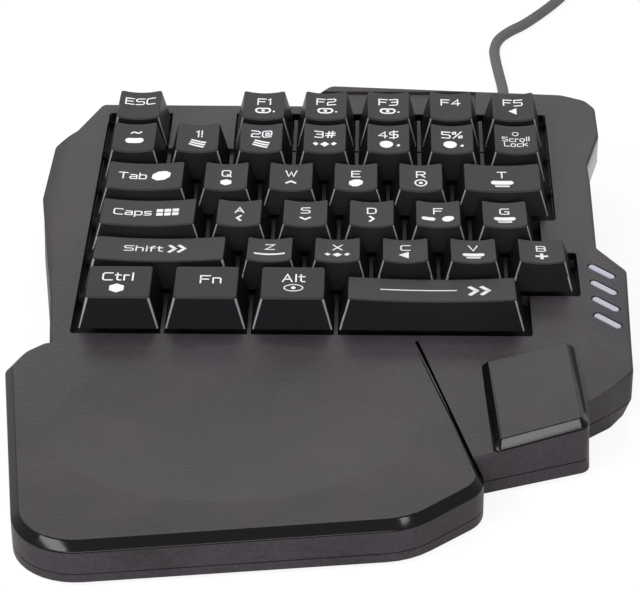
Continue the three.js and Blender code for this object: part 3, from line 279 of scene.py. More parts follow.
# Outline corners: share of the width, share of the depth, radius as a share of the width
DECK_SHARES = [
    (0.108, 0.289, 0),
    (0.688, 0.159, 0),
    (0.907, 0.2215, 0.018),
    (0.9135, 0.2905, 0),
    (0.95, 0.3145, 0.035),
    (0.9877, 0.3445, 0.024),
    (1, 0.5547, 0.015),
    (0.9547, 0.6045, 0.018),
    (0.958, 0.757, 0.024),
    (0.957, 0.796, 0.024),
    (0.984, 0.8727, 0.035),
    (0.984, 0.9427, 0.024),
    (0.9677, 0.9637, 0.03),
    (0.924, 0.9785, 0.03),
    (0.4965, 1, 0.018),
    (0.4724, 0.9777, 0.012),
    (0.4618, 0.9453, 0.006),
    (0.0765, 0.9466, 0.012),
    (0.0382, 0.8775, 0),
    (0.004, 0.844, 0.018),
    (0, 0.7196, 0.035),
    (0.0488, 0.49, 0),
    (0.0618, 0.4003, 0),
]
FOOT_SHIFTS = [
    0, 0, 0, 0, 0, 0.013, 0.024, 0.026, 0.028, 0.028, 0.028, 0.028, 0.024, 0.008, 0, 0, 0, 0, 0, 0, 0, 0, 0,
]
PALM_SHARES = [
    (0, 0.3443, 0.024),
    (0.0741, -0.0096, 0.1),
    (0.6376, 0.0446, 0.118),
    (0.7516, 0.12, 0.059),
    (0.6536, 0.4086, 0),
    (0.0524, 0.4029, 0.024),
    (0.0194, 0.3797, 0.047),
]
THUMB_SHARES = [
    (0.7476, 0.3565, 0.012),
    (0.7606, 0.18, 0.009),
    (0.907, 0.2215, 0.018),
    (0.897, 0.3937, 0.009),
]
FOLD_SHARES = [(0.0335, 0.8443), (0.0476, 0.4965), (0, 0.7196)]
WING_SHARES = [(0.9265, 0.4094), (1.003, 0.33), (0.912, 0.279), (0.889, 0.345)]
GROOVE_SHARES = (0.06, 0.985)
INSET_SHARES = [(0.483, 0.9375), (0.763, 0.9384), (0.766, 0.9826), (0.482, 0.9826)]
BAR_SHARES = [(0.3543, 0.286), (0.695, 0.2439)]
DISH_CENTRE_SHARE = (0.373, 0.2362)
DISH_LENGTH_SHARE = 0.288
DISH_DEPTH_SHARE = 0.1575
SCREW_SHARES = [(0.1465, 0.0787), (0.6406, 0.1225), (0.0465, 0.7918), (0.92, 0.855), (0.6288, 0.965)]
PAD_SHARES = [(0.27, 0.1), (0.52, 0.09), (0.2, 0.9), (0.85, 0.9)]
SUPPORT_SHARES = [0.16, 0.36, 0.56, 0.76]
BOARD_SHARE = (0.77, 0.875)
BOARD_POST_SHARES = [(-0.42, -0.4), (0.42, -0.4), (0.42, 0.4), (-0.42, 0.4)]
EXIT_SHARE = 0.743
EXIT_RADIUS = 3.8 * MM

# Finishes: label, colour or its property, roughness, contrast, bump, and what else isn't plain
FINISH_ROWS = {
    "case": ("Textured case plastic", "case", 0.45, 0.45, 1, {"fine": 1000, "specular": 0.16}),
    # polish: the bevels' glossy plastic, its colour darkened as painted shade; the key field's channel takes
    # it as painted shade too
    "polish": ("Polished bevel", "polish", 0.12, 0.06, 0.004, {"specular": 0.11, "spread": 0.03}),
    # cap_top and cap_side are one plastic: the top's lighter colour is painted light and the sides' darker
    # colour painted shade, beside the top's rougher satin
    "cap_top": ("Satin cap top", "cap_top", 0.5, 0.08, 0.15, {"fine": 2600, "specular": 0.12}),
    # cap_edge: a painted highlight on the front corner ridges, where their rounding would catch the light
    "cap_edge": ("Worn cap edge", "cap_edge", 0.3, 0.1, 0.04, {"specular": 0.3}),
    "cap_side": ("Dark cap side", "cap_side", 0.35, 0.1, 0.04, {"specular": 0.08}),
    "legend": ("Legend print", "legend", 0.45, 0.05, 0.04, {"fine": 3000}),
    # light_bar: its faint emission is a painted glow, as no lamp lights the bars
    "light_bar": ("Milky light bar", "light_bar", 0.4, 0.05, 0.03, {"emission": 0.1}),
    "cable": ("Cable jacket", "cable", 0.55, 0.08, 0.1, {"specular": 0.2}),
    "rubber": ("Matte rubber", "rubber", 0.8, 0.15, 0.2, {"specular": 0.3}),
    # inner: dark plastic, darkened further as painted shade where it shows between the keys
    "inner": ("Inner plastic", (0.005, 0.005, 0.005), 0.6, 0.1, 0.1, {"specular": 0.1}),
    "silicone": ("Silicone sheet", (0.30, 0.30, 0.29), 0.5, 0.06, 0.05, {}),
    "film": ("Membrane film", (0.45, 0.50, 0.52), 0.25, 0.05, 0.02, {}),
    "diffuser": ("White diffuser", (0.72, 0.73, 0.76), 0.35, 0.03, 0.02, {}),
    "board": ("Lacquered board", (0.012, 0.095, 0.03), 0.35, 0.2, 0.1, {}),
    "steel": ("Plain steel", (0.40, 0.41, 0.42), 0.32, 0.06, 0.03, {"metallic": 1}),
    "nickel": ("Nickel plate", (0.56, 0.56, 0.55), 0.22, 0.04, 0.02, {"metallic": 1}),
}

# Rows of keys, front row first: key, width in key units; None is a gap
KEY_ROWS = [
    [("ctrl", 1.25), ("fn", 1.25), ("alt", 1.25), ("space", 2.75)],
    [("shift", 2.25), ("z", 1), ("x", 1), ("c", 1), ("v", 1), ("b", 1)],
    [("caps", 1.75), ("a", 1), ("s", 1), ("d", 1), ("f", 1), ("g", 1)],
    [("tab", 1.5), ("q", 1), ("w", 1), ("e", 1), ("r", 1), ("t", 1.5)],
    [("tilde", 1), ("1", 1), ("2", 1), ("3", 1), ("4", 1), ("5", 1), ("lock", 1)],
    [("esc", 1), (None, 1), ("f1", 1), ("f2", 1), ("f3", 1), ("f4", 1), ("f5", 1)],
]
ROW_PROFILES = [(0.995, 1.055), (0.985, 0.757), (0.89, 0.8), (0.872, 0.883), (1, 1.11), (1, 1.11)]
SPACE_PROFILE = (1.015, 0.72)

# Legends: words with height, x and y in millimetres on the cap, then marks with the same
LEGENDS = {
    "esc": ([("ESC", 3.0, 0, 1.9)], []),
    "tilde": ([("~", 3.6, 0.3, 2.6)], [("pill", 2.5, 0, -1.4)]),
    "1": ([("1!", 3.0, 0.3, 2.2)], [("bars", 3.0, 0, -2.7)]),
    "2": ([("2@", 3.0, 0, 2.2)], [("bars", 3.0, 0, -2.7)]),
    "3": ([("3#", 3.0, 0, 2.2)], [("diamonds", 3.2, 0, -2.7)]),
    "4": ([("4$", 3.0, 0, 2.2)], [("disc", 3.5, -0.6, -2.6), ("dot", 1.0, 3.0, -3.4)]),
    "5": ([("5%", 3.0, 0, 2.2)], [("disc", 3.5, -0.6, -2.6), ("dot", 1.0, 3.0, -3.4)]),
    "lock": ([("Scroll", 2.0, 0, 0.1), ("Lock", 2.0, 0, -2.4)], [("ring", 2.0, 0, 3.0)]),
    "tab": ([("Tab", 3.0, -3.8, 0.2)], [("block", 4.0, 4.6, 0.2)]),
    "caps": ([("Caps", 3.0, -4.6, 0.2)], [("grid", 4.4, 5.5, 0.2)]),
    "shift": ([("Shift", 3.0, -4.6, 0.4)], [("chevrons", 3.8, 4.8, 0.4)]),
    "ctrl": ([("Ctrl", 3.2, -0.6, 2.2)], [("hexagon", 4.0, -0.6, -3.0)]),
    "fn": ([("Fn", 3.2, 1.2, 1.2)], []),
    "alt": ([("Alt", 3.2, 0.2, 2.0)], [("lens", 3.2, 0.2, -2.4)]),
    "space": ([], [("line", 0.5, -3.6, -0.2), ("chevrons", 4.6, 13.0, -0.6)]),
}
LETTER_MARKS = {
    "q": [("hexagon", 3.2, 0, -2.9)],
    "w": [("up", 2.6, 0, -2.6)],
    "e": [("block", 3.0, 0, -2.8)],
    "r": [("ring", 3.8, 0, -2.6), ("dot", 1.2, 0, -2.6)],
    "t": [("long_pill", 3.0, 0, -2.3)],
    "a": [("left", 2.6, 0, -2.6)],
    "s": [("down", 2.6, 0, -2.6)],
    "d": [("right", 2.6, 0, -2.6)],
    "f": [("pill", 1.8, -2.8, -2.6), ("disc", 3.0, 2.8, -2.6)],
    "g": [("long_pill", 2.8, 0, -2.3)],
    "z": [("long_bar", 1.1, 0, -2.6)],
    "x": [("diamonds", 3.2, 0, -2.6)],
    "c": [("triangle", 3.8, 0, -2.6)],
    "v": [("long_pill", 2.8, 0, -2.3)],
    "b": [("plus", 3.5, 0, -2.8)],
}
for key, marks in LETTER_MARKS.items():
    LEGENDS[key] = ([(key.upper(), 3.0, 0, 1.9)], marks)
SLOT_AND_DOT = [("slot", 2.8, -0.2, -2.4), ("dot", 0.7, 3.1, -3.2)]
FUNCTION_MARKS = [SLOT_AND_DOT, SLOT_AND_DOT, SLOT_AND_DOT, [], [("triangle", 3.2, 0.2, -2.2)]]
for number, marks in enumerate(FUNCTION_MARKS, 1):
    LEGENDS[f"f{number}"] = ([(f"F{number}", 3.0, 0, 2.2)], marks)

# Letters as strokes between points on a grid ten units high; a bar divides a letter's strokes
LETTER_HEIGHT = 10
LETTER_GAP = 2.8
STROKE = 1.4
LETTERS = {
    "A": "0,0 4,10 8,0|1.4,3.4 6.6,3.4",
    "B": "0,0 0,10 6.4,10 7.6,9 7.6,6.2 6.6,5.2 0,5.2|6.6,5.2 8,4.2 8,1.2 6.8,0 0,0",
    "C": "8,10 1.5,10 0,8.5 0,1.5 1.5,0 8,0",
    "D": "0,0 0,10 6,10 8,8 8,2 6,0 0,0",
    "E": "8,10 0,10 0,0 8,0|0,5.2 7,5.2",
    "F": "8,10 0,10 0,0|0,5.2 6.6,5.2",
    "G": "8,10 1.5,10 0,8.5 0,1.5 1.5,0 8,0 8,5 4.6,5",
    "L": "0,10 0,0 7,0",
    "Q": "1.5,0 0,1.5 0,8.5 1.5,10 6.5,10 8,8.5 8,1.5 6.5,0 1.5,0|5,3 8.6,-1",
    "R": "0,0 0,10 6.5,10 8,8.6 8,6 6.5,4.6 0,4.6|4.4,4.6 8,0",
    "S": "8,10 1.4,10 0,8.8 0,6.4 1.4,5.2 6.6,5.2 8,4 8,1.2 6.6,0 0,0",
    "T": "0,10 8,10|4,10 4,0",
    "V": "0,10 4,0 8,10",
    "W": "0,10 2.7,0 5.2,8 7.7,0 10.4,10",
    "X": "0,10 8,0|8,10 0,0",
    "Z": "0,10 8,10 0,0 8,0",
    "a": "0.6,7 5.3,7 6.4,6 6.4,0 1.2,0 0,1 0,2.8 1.2,3.8 6.4,3.8",
    "b": "0,10 0,0 5.2,0 6.5,1.3 6.5,5.7 5.2,7 0,7",
    "c": "6,7 1.3,7 0,5.7 0,1.3 1.3,0 6,0",
    "f": "4.6,10 2.8,10 1.6,8.8 1.6,0|0,6.6 4.4,6.6",
    "h": "0,10 0,0|0,7 5.2,7 6.5,5.7 6.5,0",
    "i": "0.6,7 0.6,0|0.6,9.3 0.6,10",
    "k": "0,10 0,0|5.8,7 0,3.2|2.2,4.6 6.2,0",
    "l": "0.6,10 0.6,0",
    "n": "0,0 0,7 5.2,7 6.5,5.7 6.5,0",
    "o": "1.3,0 0,1.3 0,5.7 1.3,7 5.2,7 6.5,5.7 6.5,1.3 5.2,0 1.3,0",
    "p": "0,-3 0,7 5.2,7 6.5,5.7 6.5,1.3 5.2,0 0,0",
    "r": "0,0 0,7 4,7",
    "s": "6,7 1,7 0,6 0,4.4 1,3.5 5,3.5 6,2.6 6,1 5,0 0,0",
    "t": "1.5,9.6 1.5,1.2 2.7,0 4.7,0|0,7 4.5,7",
    "1": "0,8.4 1.8,10 1.8,0",
    "2": "0,10 6.6,10 8,8.8 8,6.4 6.6,5.2 1.4,5.2 0,4 0,0 8,0",
    "3": "0,10 6.6,10 8,9 8,6.2 6.8,5.2 2,5.2|6.8,5.2 8,4.2 8,1.2 6.6,0 0,0",
    "4": "6,0 6,10 0,3 8,3",
    "5": "8,10 0,10 0,5.6 6.6,5.6 8,4.4 8,1.2 6.6,0 0,0",
    "!": "0.6,10 0.6,3.4|0.6,0 0.6,0.8",
    "@": "8.6,0 1.5,0 0,1.5 0,8.5 1.5,10 7.6,10 9,8.5 9,3 3.4,3 3.4,6.8 6.3,6.8 6.3,3",
    "#": "2.2,0 3.4,10|5.8,0 7,10|0,3.2 9,3.2|0.4,6.8 9.2,6.8",
    "$": "8,10 1.4,10 0,8.8 0,6.4 1.4,5.2 6.6,5.2 8,4 8,1.2 6.6,0 0,0|4,11.6 4,-1.6",
    "%": "0.6,0 8.4,10|0,7 0,10 2.8,10 2.8,7 0,7|6.2,0 6.2,3 9,3 9,0 6.2,0",
    "~": "0,4.4 1.6,6 3,6 5,4.4 6.4,4.4 8,6",
}


# Places from the frame: the key grid's front left corner lies on the desk's plane
key_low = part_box("key_ctrl")[0]
ORIGIN = Vector((
    key_low.x - KEY_GAP / 2,
    key_low.y - (KEY_GAP / 2 * math.cos(TILT) - CAP_BASE * math.sin(TILT)),
    0,
))
DECK = Matrix.Translation(ORIGIN + Vector((0, 0, DECK_HEIGHT))) @ Matrix.Rotation(TILT, 4, "X")
WIDEST = max(sum(units for _, units in row) for row in KEY_ROWS)
WIDTH = LEFT_MARGIN + WIDEST * PITCH + RIGHT_MARGIN
DEPTH = PALM_LENGTH + len(KEY_ROWS) * PITCH * math.cos(TILT) + REAR_MARGIN


def length_property(name, description, default):
    """A size given in millimetres"""
    return bpy.props.FloatProperty(name=name, description=description, default=default * MM, unit="LENGTH")


def colour_property(name, description, *default):
    return bpy.props.FloatVectorProperty(name=name, description=description, subtype="COLOR", default=default)


class KeypadSizes(bpy.types.PropertyGroup):
    """Sizes of the finish that don't change the frame"""

    case_edge: length_property("Case edge", "Rounding of the deck's rim", 0.9)
    bevel_softness: length_property("Bevel softness", "Softened ends of the rests' bevels", 0.4)
    opening_edge: length_property("Opening edge", "Bevel round each opening", 0.2)
    cap_edge: length_property("Cap edge", "Rounding of a keycap's rim", 0.4)
    legend_lift: length_property("Legend lift", "Height of the print over the cap", 0.03)


class KeypadColours(bpy.types.PropertyGroup):
    """Colours of the keypad's finishes"""

    case: colour_property("Case", "Textured case plastic", 0.0235, 0.0197, 0.0238)
    # Polish colour: darker than the case as painted shade on the glossy bevels and in the key field's channel
    polish: colour_property("Polish", "Polished bevels of the rests", 0.003, 0.0026, 0.0032)
    # Cap top and cap side colours: painted light on the tops, painted shade on the sides
    cap_top: colour_property("Cap top", "Satin top of the keys", 0.016, 0.0142, 0.0162)
    cap_side: colour_property("Cap side", "Dark sides of the keys", 0.004, 0.004, 0.005)
    # Cap edge colour: a painted highlight on the keys' front corner ridges
    cap_edge: colour_property("Cap edge", "Light ridges of the keys", 0.17, 0.165, 0.175)
    legend: colour_property("Legend", "Print on the keys", 0.58, 0.58, 0.60)
    light_bar: colour_property("Light bar", "Milky light bars", 0.26, 0.27, 0.32)
    cable: colour_property("Cable", "Jacket of the lead", 0.078, 0.073, 0.076)
    rubber: colour_property("Rubber", "Pads and plug grip", 0.016, 0.016, 0.017)
    floor: colour_property("Floor", "Pale floor", 0.92, 0.92, 0.92)


def sizes():
    return bpy.context.scene.keypad_sizes


def colours():
    return bpy.context.scene.keypad_colours


# Outlines


def point_at(share):
    return Vector((share[0] * WIDTH - LEFT_MARGIN, share[1] * DEPTH - PALM_LENGTH))


def corners_from(shares):
    return stepped([{"at": point_at(share), "radius": share[2] * WIDTH} for share in shares])


def rectangle(x0, y0, x1, y1, radius):
    places = [(x0, y0), (x1, y0), (x1, y1), (x0, y1)]
    return stepped([{"at": Vector(place), "radius": radius} for place in places])


def turn_at(corners, i):
    """The way in, the way out and the turn at a corner, positive where the outline turns left"""
    into = (corners[i]["at"] - corners[i - 1]["at"]).normalized()
    out = (corners[(i + 1) % len(corners)]["at"] - corners[i]["at"]).normalized()
    return into, out, math.atan2(into.x * out.y - into.y * out.x, into.dot(out))


def stepped(corners):
    """Gives each corner its count of arc steps and of steps along the straight run after it"""
    for i, corner in enumerate(corners):
        turn = turn_at(corners, i)[2]
        run = (corners[(i + 1) % len(corners)]["at"] - corner["at"]).length
        corner["steps"] = max(2, math.ceil(abs(turn) / ARC_STEP)) if corner["radius"] > 0 else 0
        corner["runs"] = max(1, round(run / RUN_STEP))
    return corners


def moved(corners, distance):
    """The same outline, drawn larger by a distance, or smaller where it is negative"""
    result = []
    for i, corner in enumerate(corners):
        into, out, turn = turn_at(corners, i)
        normal_out = Vector((out.y, -out.x))
        way = (Vector((into.y, -into.x)) + normal_out).normalized()
        radius = corner["radius"]
        if radius > 0:
            radius = max(radius + math.copysign(distance, turn * distance), GAP)
        at = corner["at"] + way * (distance / way.dot(normal_out))
        result.append({**corner, "at": at, "radius": radius})
    return result


def rounded(corners):
    """The outline's points, anticlockwise, with its arcs and straight runs in steps"""
    arcs = []
    for i, corner in enumerate(corners):
        into, out, turn = turn_at(corners, i)
        if corner["steps"] == 0:
            arcs.append([corner["at"].copy()])
            continue
        reach = corner["radius"] * math.tan(abs(turn) / 2)
        start = corner["at"] - into * reach
        side = Vector((-into.y, into.x)) * math.copysign(1, turn)
        centre = start + side * corner["radius"]
        arc = []
        for step in range(corner["steps"] + 1):
            spin = Matrix.Rotation(turn * step / corner["steps"], 2)
            arc.append(centre + spin @ (start - centre))
        arcs.append(arc)
    points = []
    for i, arc in enumerate(arcs):
        points.extend(arc)
        start, end = arc[-1], arcs[(i + 1) % len(arcs)][0]
        runs = corners[i]["runs"]
        points.extend(start.lerp(end, step / runs) for step in range(1, runs))
    return points


# Heights of the case's surfaces, in the key grid's own place over the desk


def deck_z(x, y):
    rise = DECK_HEIGHT + BEND_Y * math.tan(TILT)
    return rise + (y - BEND_Y) * math.tan(TILT if y >= BEND_Y else FRONT_TILT)


def palm_z(x, y):
    return PALM_FRONT_HEIGHT + (y + PALM_LENGTH) * math.tan(PALM_TILT)


def thumb_z(x, y):
    corner = point_at(THUMB_SHARES[1])
    return THUMB_HEIGHT + (x - corner.x) * math.tan(THUMB_ROLL) + (y - corner.y) * math.tan(THUMB_PITCH)


def seam_z(y):
    return SEAM_HEIGHT + y * SEAM_SLOPE


def at_heights(outline, surface, down=0):
    """The outline's points at a height or on a surface, less a drop"""
    return [Vector((p.x, p.y, (surface(p.x, p.y) if callable(surface) else surface) - down)) for p in outline]


def edge_rings(corners, surface, edge, keep=list):
    """Rings that step in and down from a surface's rim"""
    return [at_heights(rounded(keep(moved(corners, -step_in))), surface, down) for step_in, down in edge]


# Modelling


def deselect():
    bpy.ops.object.select_all(action="DESELECT")


def activate(piece):
    deselect()
    piece.select_set(True)
    bpy.context.view_layer.objects.active = piece


def spot_key(point):
    """A point as a key that forgets the last digits"""
    return tuple(round(c, 7) for c in point)


@contextmanager
def editing(piece, action="SELECT"):
    """Edit mode for one piece, with all of it selected or none of it"""
    activate(piece)
    bpy.ops.object.mode_set(mode="EDIT")
    bpy.ops.mesh.select_all(action=action)
    yield
    bpy.ops.object.mode_set(mode="OBJECT")


def modify(piece, kind, **settings):
    """Adds a modifier with its settings and applies it"""
    activate(piece)
    bpy.ops.object.modifier_add(type=kind)
    modifier = piece.modifiers[-1]
    for setting, value in settings.items():
        setattr(modifier, setting, value)
    bpy.ops.object.modifier_apply(modifier=modifier.name)
    return piece


def applied(name):
    """The newest piece under its name, with its place in its mesh"""
    piece = bpy.context.object
    piece.name = name
    bpy.ops.object.transform_apply(location=True, rotation=True, scale=True)
    return piece


def flat_face(name, points):
    """A round face that takes the shape of some points"""
    deselect()
    bpy.ops.mesh.primitive_circle_add(vertices=len(points), radius=1, fill_type="NGON")
    piece = bpy.context.object
    piece.name = name
    for vertex, point in zip(piece.data.vertices, points):
        vertex.co = point
    return piece


def skin(name, rings):
    """A closed skin: a face in the first ring's shape is extruded from ring to ring"""
    piece = flat_face(name, rings[0])
    with editing(piece):
        for before, after in zip(rings, rings[1:]):
            bpy.ops.mesh.extrude_region_move()
            mesh = bmesh.from_edit_mesh(piece.data)
            places = {spot_key(point): i for i, point in enumerate(before)}
            for vertex in mesh.verts:
                if vertex.select:
                    vertex.co = after[places[spot_key(vertex.co)]]
            bmesh.update_edit_mesh(piece.data)
        bpy.ops.mesh.select_all(action="SELECT")
        bpy.ops.mesh.normals_make_consistent(inside=False)
    return piece


def slab(name, outline, low, high):
    """A solid over an outline, from one height or surface up to another"""
    return skin(name, [at_heights(outline, low), at_heights(outline, high)])


def box_piece(name, low, high):
    deselect()
    middle = (Vector(low) + Vector(high)) / 2
    bpy.ops.mesh.primitive_cube_add(size=1, location=middle, scale=Vector(high) - Vector(low))
    return applied(name)


def post(name, place, radius, low, high, sides=ROUND_SIDES):
    deselect()
    middle = (place[0], place[1], (low + high) / 2)
    bpy.ops.mesh.primitive_cylinder_add(vertices=sides, radius=radius, depth=high - low, location=middle)
    return applied(name)


def place_by(piece, matrix):
    piece.data.transform(matrix)
    return piece


def join(pieces):
    activate(pieces[0])
    for piece in pieces:
        piece.select_set(True)
    if len(pieces) > 1:
        bpy.ops.object.join()
    return pieces[0]


def combine(piece, tool, how):
    """Adds, cuts or keeps by another solid, which is then gone"""
    modify(piece, "BOOLEAN", operation=how, solver="EXACT", object=tool)
    bpy.data.objects.remove(tool)
    return piece


def finish_mesh(piece, angle=CASE_SMOOTH):
    """Smooth shading up to an angle, with normals led by the large faces"""
    activate(piece)
    bpy.ops.object.shade_smooth_by_angle(angle=angle)
    return modify(piece, "WEIGHTED_NORMAL", keep_sharp=True)


def bevelled(piece, width):
    limit = {"limit_method": "ANGLE", "angle_limit": BEVEL_FROM}
    return modify(piece, "BEVEL", width=width, segments=BEVEL_SEGMENTS, use_clamp_overlap=True, **limit)


def linked(name, data):
    """A new object for some data, in the scene"""
    piece = bpy.data.objects.new(name, data)
    bpy.context.scene.collection.objects.link(piece)
    return piece


def merged_copy(node, name):
    """A copy of a frame node with its loose triangles merged into clean faces"""
    piece = linked(name, frame["nodes"][node].data.copy())
    piece.data.materials.clear()
    with editing(piece):
        bpy.ops.mesh.remove_doubles(threshold=COPY_MERGE_REACH)
        bpy.ops.mesh.dissolve_limited(angle_limit=FLAT_WITHIN)
    return piece


def paint(piece, material):
    piece.data.materials.clear()
    piece.data.materials.append(material)
    return piece


def clean(piece):
    """Merges points that lie on one another and drops faces of no size"""
    with editing(piece):
        bpy.ops.mesh.remove_doubles(threshold=MERGE_REACH)
        bpy.ops.mesh.dissolve_degenerate(threshold=MERGE_REACH)
    return piece


def stand_for(piece, node):
    """The piece rides with the node's body and stands for the node, which it hides"""
    body = next(name for name, nodes in frame["record"]["behaviour"]["bodies"].items() if node in nodes)
    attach(piece, body)
    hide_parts(node)
    return piece


# Materials


def math_node(nodes, links, operation, *sources):
    """The result of a sum over sockets and numbers"""
    node = nodes.new("ShaderNodeMath")
    node.operation = operation
    for socket, source in zip(node.inputs, sources):
        if isinstance(source, (int, float)):
            socket.default_value = source
        else:
            links.new(source, socket)
    return node.outputs[0]


def grain_group():
    """Fine moulded grain and slow blotches, from the piece's own place"""
    group = bpy.data.node_groups.get("Moulded grain")
    if group:
        return group
    group = bpy.data.node_groups.new("Moulded grain", "ShaderNodeTree")
    for way, names in (("INPUT", ("Fine scale", "Slow scale")), ("OUTPUT", ("Grain", "Blotch"))):
        for name in names:
            group.interface.new_socket(name, in_out=way, socket_type="NodeSocketFloat")
    nodes, links = group.nodes, group.links
    entry = nodes.new("NodeGroupInput")
    leave = nodes.new("NodeGroupOutput")
    place = nodes.new("ShaderNodeTexCoord")
    fine = nodes.new("ShaderNodeTexNoise")
    fine.inputs["Detail"].default_value = FINE_DETAIL
    fine.inputs["Roughness"].default_value = FINE_ROUGHNESS
    slow = nodes.new("ShaderNodeTexNoise")
    slow.inputs["Detail"].default_value = SLOW_DETAIL
    for texture, scale in ((fine, "Fine scale"), (slow, "Slow scale")):
        links.new(place.outputs["Object"], texture.inputs["Vector"])
        links.new(entry.outputs[scale], texture.inputs["Scale"])
    links.new(fine.outputs["Fac"], leave.inputs["Grain"])
    links.new(slow.outputs["Fac"], leave.inputs["Blotch"])
    return group


def moulded(
    name, colour, roughness, contrast, bump, fine=1600, slow=45, specular=0.5,
    spread=0.08, metallic=0, emission=0,
):
    """Moulded plastic, rubber or metal: its colour and roughness vary with the grain, which also lifts it"""
    material = bpy.data.materials.new(name)
    material.use_nodes = True
    nodes, links = material.node_tree.nodes, material.node_tree.links
    shader = nodes["Principled BSDF"]
    shader.inputs["Specular IOR Level"].default_value = specular
    shader.inputs["Metallic"].default_value = metallic
    shader.inputs["Emission Strength"].default_value = emission
    shader.inputs["Emission Color"].default_value = (*colour, 1)
    grain = nodes.new("ShaderNodeGroup")
    grain.node_tree = grain_group()
    grain.inputs["Fine scale"].default_value = fine
    grain.inputs["Slow scale"].default_value = slow
    total = math_node(nodes, links, "ADD", grain.outputs["Grain"], grain.outputs["Blotch"])
    mean = math_node(nodes, links, "MULTIPLY", total, 0.5)
    ramp = nodes.new("ShaderNodeValToRGB")
    low, high = ramp.color_ramp.elements
    low.position, high.position = TINT_FROM, TINT_TO
    low.color = (*(c * (1 - contrast) for c in colour), 1)
    high.color = (*(c * (1 + contrast) for c in colour), 1)
    links.new(mean, ramp.inputs["Fac"])
    links.new(ramp.outputs["Color"], shader.inputs["Base Color"])
    worn = nodes.new("ShaderNodeMapRange")
    worn.inputs["To Min"].default_value = roughness - spread
    worn.inputs["To Max"].default_value = roughness + spread
    links.new(mean, worn.inputs["Value"])
    links.new(worn.outputs["Result"], shader.inputs["Roughness"])
    lift = nodes.new("ShaderNodeBump")
    lift.inputs["Strength"].default_value = bump
    lift.inputs["Distance"].default_value = GRAIN_HEIGHT
    links.new(grain.outputs["Grain"], lift.inputs["Height"])
    links.new(lift.outputs["Normal"], shader.inputs["Normal"])
    return material


FINISHES = {}


def finish(name):
    """Each finish is made once, when it is first asked for"""
    if name not in FINISHES:
        label, colour, roughness, contrast, bump, rest = FINISH_ROWS[name]
        if isinstance(colour, str):
            colour = getattr(colours(), colour)
        FINISHES[name] = moulded(label, colour, roughness, contrast, bump, **rest)
    return FINISHES[name]


# The case


def bevel_profile(width, soft):
    """A bevel's steps in and down, with soft ends"""
    half = [
        (0, width + soft),
        (soft * SOFT_SIDE, width + soft * SOFT_START),
        (soft * SOFT_START, width - soft * SOFT_TURN),
    ]
    return half + [(down, step_in) for step_in, down in reversed(half)]


def round_profile(radius, steps=ROUND_STEPS):
    """A quarter round's steps in and down"""
    angles = [math.pi / 2 * step / steps for step in range(steps + 1)]
    return [(radius * (1 - math.cos(a)), radius * (1 - math.sin(a))) for a in angles]


def foot_rings(corners, rest):
    """Rings at a block's foot: below the desk, flat at a given height, or round on the base's plane"""
    if rest == "under":
        return [at_heights(rounded(corners), -OVERRUN)]
    if rest == "floor":
        return [at_heights(rounded(corners), FLOOR_Z)]
    edge = [(step_in, -up) for step_in, up in reversed(round_profile(BASE_ROUND))]
    return edge_rings(corners, BASE_CLEARANCE, edge)


def raised_block(name, shares, inset, top, drop, edge, rest):
    """A block from its foot to its brim, over a polished bevel with soft edges"""
    corners = moved(corners_from(shares), -inset)
    rings = foot_rings(corners, rest) + edge_rings(corners, lambda x, y: top(x, y) - drop, edge)
    piece = give_case_finishes(skin(name, rings))
    # Bevel faces take the polish finish: glossy, and darker as painted shade
    for face in piece.data.polygons:
        if POLISH_LOW < face.normal.z < POLISH_HIGH:
            face.material_index = POLISH_AND_SHADE_LOOK
    return piece


def give_finishes(piece, names, look):
    """Gives a piece some finishes, with all its faces in one of them"""
    piece.data.materials.clear()
    for name in names:
        piece.data.materials.append(finish(name))
    for face in piece.data.polygons:
        face.material_index = look
    return piece


def give_case_finishes(piece, look=PLAIN_LOOK):
    return give_finishes(piece, CASE_FINISHES, look)


def bent(corners):
    """Keeps the two corners of the deck's bend on its line after an outline has moved"""
    for i, corner in enumerate(corners):
        if corner.get("bend"):
            low, high = corners[i - 1]["at"], corners[(i + 1) % len(corners)]["at"]
            corner["at"] = low.lerp(high, (BEND_Y - low.y) / (high.y - low.y))
    return corners


def deck_corners():
    """The deck's outline with a corner of no turn where the bend crosses each side"""
    corners = [{**corner, "shift": share} for corner, share in zip(corners_from(DECK_SHARES), FOOT_SHIFTS)]
    with_bend = []
    for i, corner in enumerate(corners):
        with_bend.append(corner)
        after = corners[(i + 1) % len(corners)]["at"]
        if (corner["at"].y - BEND_Y) * (after.y - BEND_Y) < 0:
            spot = corner["at"].lerp(after, (BEND_Y - corner["at"].y) / (after.y - corner["at"].y))
            with_bend.append({"at": spot, "radius": 0, "bend": True})
    return stepped(with_bend)


def deck_block(inset, drop, edge, rest):
    """The deck's block over its narrower foot, its top folded along one line across it"""
    corners = bent(moved(deck_corners(), -inset))
    foot = moved(corners, DRAFT)
    for corner in foot:
        corner["at"] = corner["at"] - Vector((corner.get("shift", 0) * WIDTH, 0))
    foot = bent(foot)
    rings = foot_rings(foot, rest)
    if rest == "under":
        rings.append(at_heights(rounded(foot), BASE_CLEARANCE))
    rings.append(at_heights(rounded(corners), deck_z, UPRIGHT_WALL))
    rings += edge_rings(corners, lambda x, y: deck_z(x, y) - drop, edge, bent)
    piece = skin("deck block", rings)
    brim = {spot_key(p) for p in rings[-1] if abs(p.y - BEND_Y) < BEND_REACH}
    with editing(piece, "DESELECT"):
        mesh = bmesh.from_edit_mesh(piece.data)
        for vertex in mesh.verts:
            vertex.select_set(spot_key(vertex.co) in brim)
        bmesh.update_edit_mesh(piece.data)
        bpy.ops.mesh.vert_connect()
    give_case_finishes(piece)
    for face in piece.data.polygons:
        if face.normal.x > SIDE_GLOSS and face.normal.y < 0 and face.center.y > GLOSS_FROM:
            face.material_index = POLISH_AND_SHADE_LOOK
    return piece


